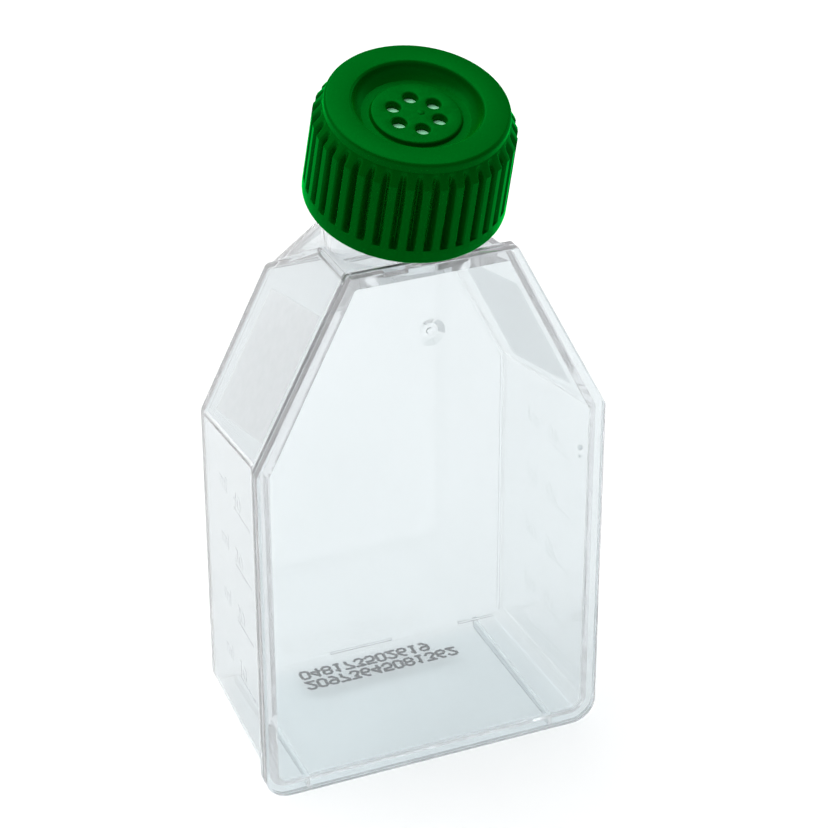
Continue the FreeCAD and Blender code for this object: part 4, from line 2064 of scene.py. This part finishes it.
    def shell(self) -> bpy.types.Object:
        """Make the whole cap as one closed skin.

        Returns:
            The solid.
        """
        place = self.axis.place()
        columns = self.columns()
        low, high = self.course.low, self.course.high
        wide, tall = self.bore_bevel
        inside = self.inside()
        heights = [high + (low - high) * k / self.bore_rows for k in range(self.bore_rows + 1)]
        bore = [(self.bore_radius, height) for height in heights]
        foot = [(self.bore_radius, self.bottom + tall), (self.bore_radius + wide, self.bottom)]
        rows = [(radius, radius, height) for radius, height in [*inside, *bore, *foot]]
        rows += self.outside() + [(radius, radius, height) for radius, height in self.recess()]
        threaded = range(len(inside), len(inside) + len(bore))
        rings = []
        for index, (crest, groove, height) in enumerate(rows):
            ring = []
            for turn, depth in columns:
                radius = crest + (groove - crest) * depth
                if index in threaded:
                    radius -= self.thread_at(turn, height)
                ring.append(place @ Vector((radius * math.cos(turn), radius * math.sin(turn), height)))
            rings.append(ring)
        bm = bmesh.new()
        made = skin(bm, rings, close_ends=False)
        vents = [skin(bm, self.vent_rings(place, k), close_ends=False) for k in range(self.vents)]
        stub = skin(bm, self.sprue_rings(place), close_ends=False)
        bm.faces.new(stub[-1])
        fill_flat(bm, [made[-1], *(vent[0] for vent in vents), stub[0]], self.axis.up)
        fill_flat(bm, [made[0], *(vent[-1] for vent in vents)], -self.axis.up)
        return object_from(bm, "green_cap_shell")

    def build(self) -> bpy.types.Object:
        """Make the cap and dress it.

        Returns:
            The finished piece.
        """
        cap = self.shell()
        finish_solid(cap, CAP_CREASE)
        dress(cap, GREEN_CAP)
        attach(cap, "cap")
        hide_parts("cap_shell")
        return cap


@dataclass(frozen=True)
class VentMembrane:
    """The porous disc under the vented floor, in millimetres from the mouth.

    Attributes:
        axis: The neck's axis.
        top: Height of its upper face.
        thick: Its thickness.
        radius: Its radius.
        edge: Size of its edges.
    """

    axis: ScrewAxis
    top: float = -1.10
    thick: float = 0.3
    radius: float = 6.6
    edge: float = 0.04

    def build(self) -> bpy.types.Object:
        """Make the disc and dress it.

        Returns:
            The finished piece.
        """
        low, inner = self.top - self.thick, self.radius - self.edge
        rows = [(inner, low), (self.radius, low + self.edge)]
        rows += [(self.radius, self.top - self.edge), (inner, self.top)]
        disc = turned_solid("membrane_disc_film", rows, self.axis.place())
        finish_solid(disc, CLEAR_CREASE)
        # the film's green tone is painted bounce light from the green cap
        dress(disc, MEMBRANE_FILM_PAINTED_GREEN_BOUNCE)
        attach(disc, "membrane_disc")
        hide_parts("vent_membrane")
        return disc


# ---------------------------------------------------------------- studio


@dataclass(frozen=True)
class SoftBox:
    """A soft rectangular lamp.

    Attributes:
        name: The lamp's name.
        place: Where it stands, in metres.
        size: Width and height, in metres.
        watts: Its power.
        colour: Its colour.
    """

    name: str
    place: Point
    size: tuple[float, float]
    watts: float
    colour: Colour = (1.0, 1.0, 1.0)

    def build(self, aim: Vector) -> None:
        """Hang the lamp.

        Args:
            aim: The point that it faces, in metres.
        """
        data = bpy.data.lights.new(self.name, "AREA")
        data.shape = "RECTANGLE"
        data.size, data.size_y = self.size
        data.energy = self.watts
        data.color = self.colour
        lamp = bpy.data.objects.new(self.name, data)
        lamp.location = self.place
        lamp.rotation_euler = (aim - Vector(self.place)).to_track_quat("-Z", "Y").to_euler()
        bpy.context.scene.collection.objects.link(lamp)


@dataclass(frozen=True)
class Studio:
    """Floor, lamps, surrounding light and camera.

    Attributes:
        aim: The point that the lamps face, in metres.
        floor_radius: Radius of the floor, in metres.
        floor_drop: How far the floor lies under the flask's lowest edge, in metres.
        lamps: The lamps.
        sky: Light from above, from low and from high on the camera's side, and from the rest.
        near_change: Heights over which the camera's side goes from low to high, on the unit sphere.
        depth_change: Depths over which the camera's side gives way to the rest, on the unit sphere.
        above_change: Heights over which the light from above sets in, on the unit sphere.
        eye: The camera's place, in metres.
        azimuth: Degrees from +Y to the camera's heading, towards +X.
        down: Degrees that it looks down.
        roll: Degrees that it leans.
        lens: Focal length, in millimetres.
        sensor: Width of the sensor, in millimetres.
        clip: Nearest and farthest distance that the camera sees, in metres.
    """

    aim: Vector
    floor_radius: float = 3.0
    floor_drop: float = 2e-5
    lamps: tuple[SoftBox, ...] = (
        SoftBox("top_box", (-0.2, 0.3, 1.1), (1.4, 1.0), 13.1),
        SoftBox("left_box", (-0.9, 0.35, 0.35), (0.5, 0.8), 1.0),
        SoftBox("right_box", (0.9, 0.15, 0.35), (0.5, 0.8), 1.2),
    )
    sky: tuple[float, float, float, float] = (1.0, 0.75, 0.25, 0.85)
    near_change: tuple[float, float] = (0.15, 0.5)
    depth_change: tuple[float, float] = (-0.4, 0.7)
    above_change: tuple[float, float] = (0.6, 0.95)
    eye: Point = (-0.125479, -0.289131, 0.231163)
    azimuth: float = 23.0778
    down: float = 29.277
    roll: float = -0.1004
    lens: float = 120.02
    sensor: float = 36.0
    clip: tuple[float, float] = (0.01, 20.0)

    def floor(self) -> None:
        """Lay the floor."""
        bm = bmesh.new()
        bmesh.ops.create_circle(bm, cap_ends=True, radius=self.floor_radius, segments=64)
        mesh = bpy.data.meshes.new("studio_floor")
        bm.to_mesh(mesh)
        bm.free()
        plane = bpy.data.objects.new("studio_floor", mesh)
        bpy.context.scene.collection.objects.link(plane)
        plane.location.z = -self.floor_drop
        dress(plane, PALE_FLOOR)
        plane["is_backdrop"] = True

    def change(
        self, tree: bpy.types.NodeTree, value: bpy.types.NodeSocket, given: tuple[float, float], last: float
    ) -> bpy.types.Node:
        """Add a level that changes with the direction.

        Args:
            tree: The world's nodes.
            value: One coordinate of the direction.
            given: Where the change starts and ends.
            last: The level at its end.

        Returns:
            The node, whose first level is still to be set.
        """
        node = tree.nodes.new("ShaderNodeMapRange")
        node.inputs["From Min"].default_value = given[0]
        node.inputs["From Max"].default_value = given[1]
        node.inputs["To Max"].default_value = last
        tree.links.new(value, node.inputs["Value"])
        return node

    def surround(self) -> None:
        """Set the soft light that comes from all round, dimmer on the camera's side."""
        world = bpy.data.worlds.new("studio")
        bpy.context.scene.world = world
        world.use_nodes = True
        tree = world.node_tree
        tree.nodes.clear()
        above, low, near, rest = self.sky
        coords = tree.nodes.new("ShaderNodeTexCoord")
        split = tree.nodes.new("ShaderNodeSeparateXYZ")
        tree.links.new(coords.outputs["Generated"], split.inputs[0])
        front = self.change(tree, split.outputs["Z"], self.near_change, near)
        front.inputs["To Min"].default_value = low
        level = self.change(tree, split.outputs["Y"], self.depth_change, rest)
        tree.links.new(front.outputs["Result"], level.inputs["To Min"])
        high = self.change(tree, split.outputs["Z"], self.above_change, above)
        most = tree.nodes.new("ShaderNodeMath")
        most.operation = "MAXIMUM"
        tree.links.new(level.outputs["Result"], most.inputs[0])
        tree.links.new(high.outputs["Result"], most.inputs[1])
        light = tree.nodes.new("ShaderNodeBackground")
        tree.links.new(most.outputs[0], light.inputs["Strength"])
        out = tree.nodes.new("ShaderNodeOutputWorld")
        tree.links.new(light.outputs[0], out.inputs["Surface"])

    def camera(self) -> None:
        """Set the camera."""
        data = bpy.data.cameras.new("camera")
        data.lens = self.lens
        data.sensor_width = self.sensor
        data.clip_start, data.clip_end = self.clip
        camera = bpy.data.objects.new("camera", data)
        heading, pitch, roll = (math.radians(v) for v in (self.azimuth, self.down, self.roll))
        turn = (
            Matrix.Rotation(-heading, 4, "Z")
            @ Matrix.Rotation(math.pi / 2 - pitch, 4, "X")
            @ Matrix.Rotation(roll, 4, "Z")
        )
        camera.matrix_world = Matrix.Translation(Vector(self.eye)) @ turn
        bpy.context.scene.collection.objects.link(camera)
        bpy.context.scene.camera = camera

    def light_paths(self) -> None:
        """Let light go on through every wall, and keep plain colours."""
        scene = bpy.context.scene
        scene.view_settings.view_transform = "Standard"
        scene.cycles.max_bounces = 96
        scene.cycles.transmission_bounces = 96
        scene.cycles.transparent_max_bounces = 32
        scene.cycles.glossy_bounces = 64
        scene.cycles.diffuse_bounces = 4

    def build(self) -> None:
        """Set up the whole studio."""
        self.floor()
        self.surround()
        for lamp in self.lamps:
            lamp.build(self.aim)
        self.camera()
        self.light_paths()


def main() -> None:
    """Build every piece, then the studio."""
    logging.basicConfig(level=logging.INFO, format="%(message)s")
    cad_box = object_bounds()
    axis = ScrewAxis.from_record(frame["record"])
    rim = RimShape()
    walls = WallShape()
    course = ThreadCourse()
    area = WritingArea(walls)
    for make in (
        FlaskBody(walls=walls, rim=rim, axis=axis, course=course).build,
        TopPlate(rim=rim).build,
        lambda: area.build(-1),
        lambda: area.build(1),
        EndWallPrint(walls).build,
        VentedCap(axis, course).build,
        VentMembrane(axis).build,
    ):
        piece = make()
        LOG.info("%s: %d faces", piece.name, len(piece.data.polygons))
    low, high = (Vector(corner) for corner in cad_box)
    Studio(aim=(low + high) / 2).build()


if __name__ == "__main__":
    main()
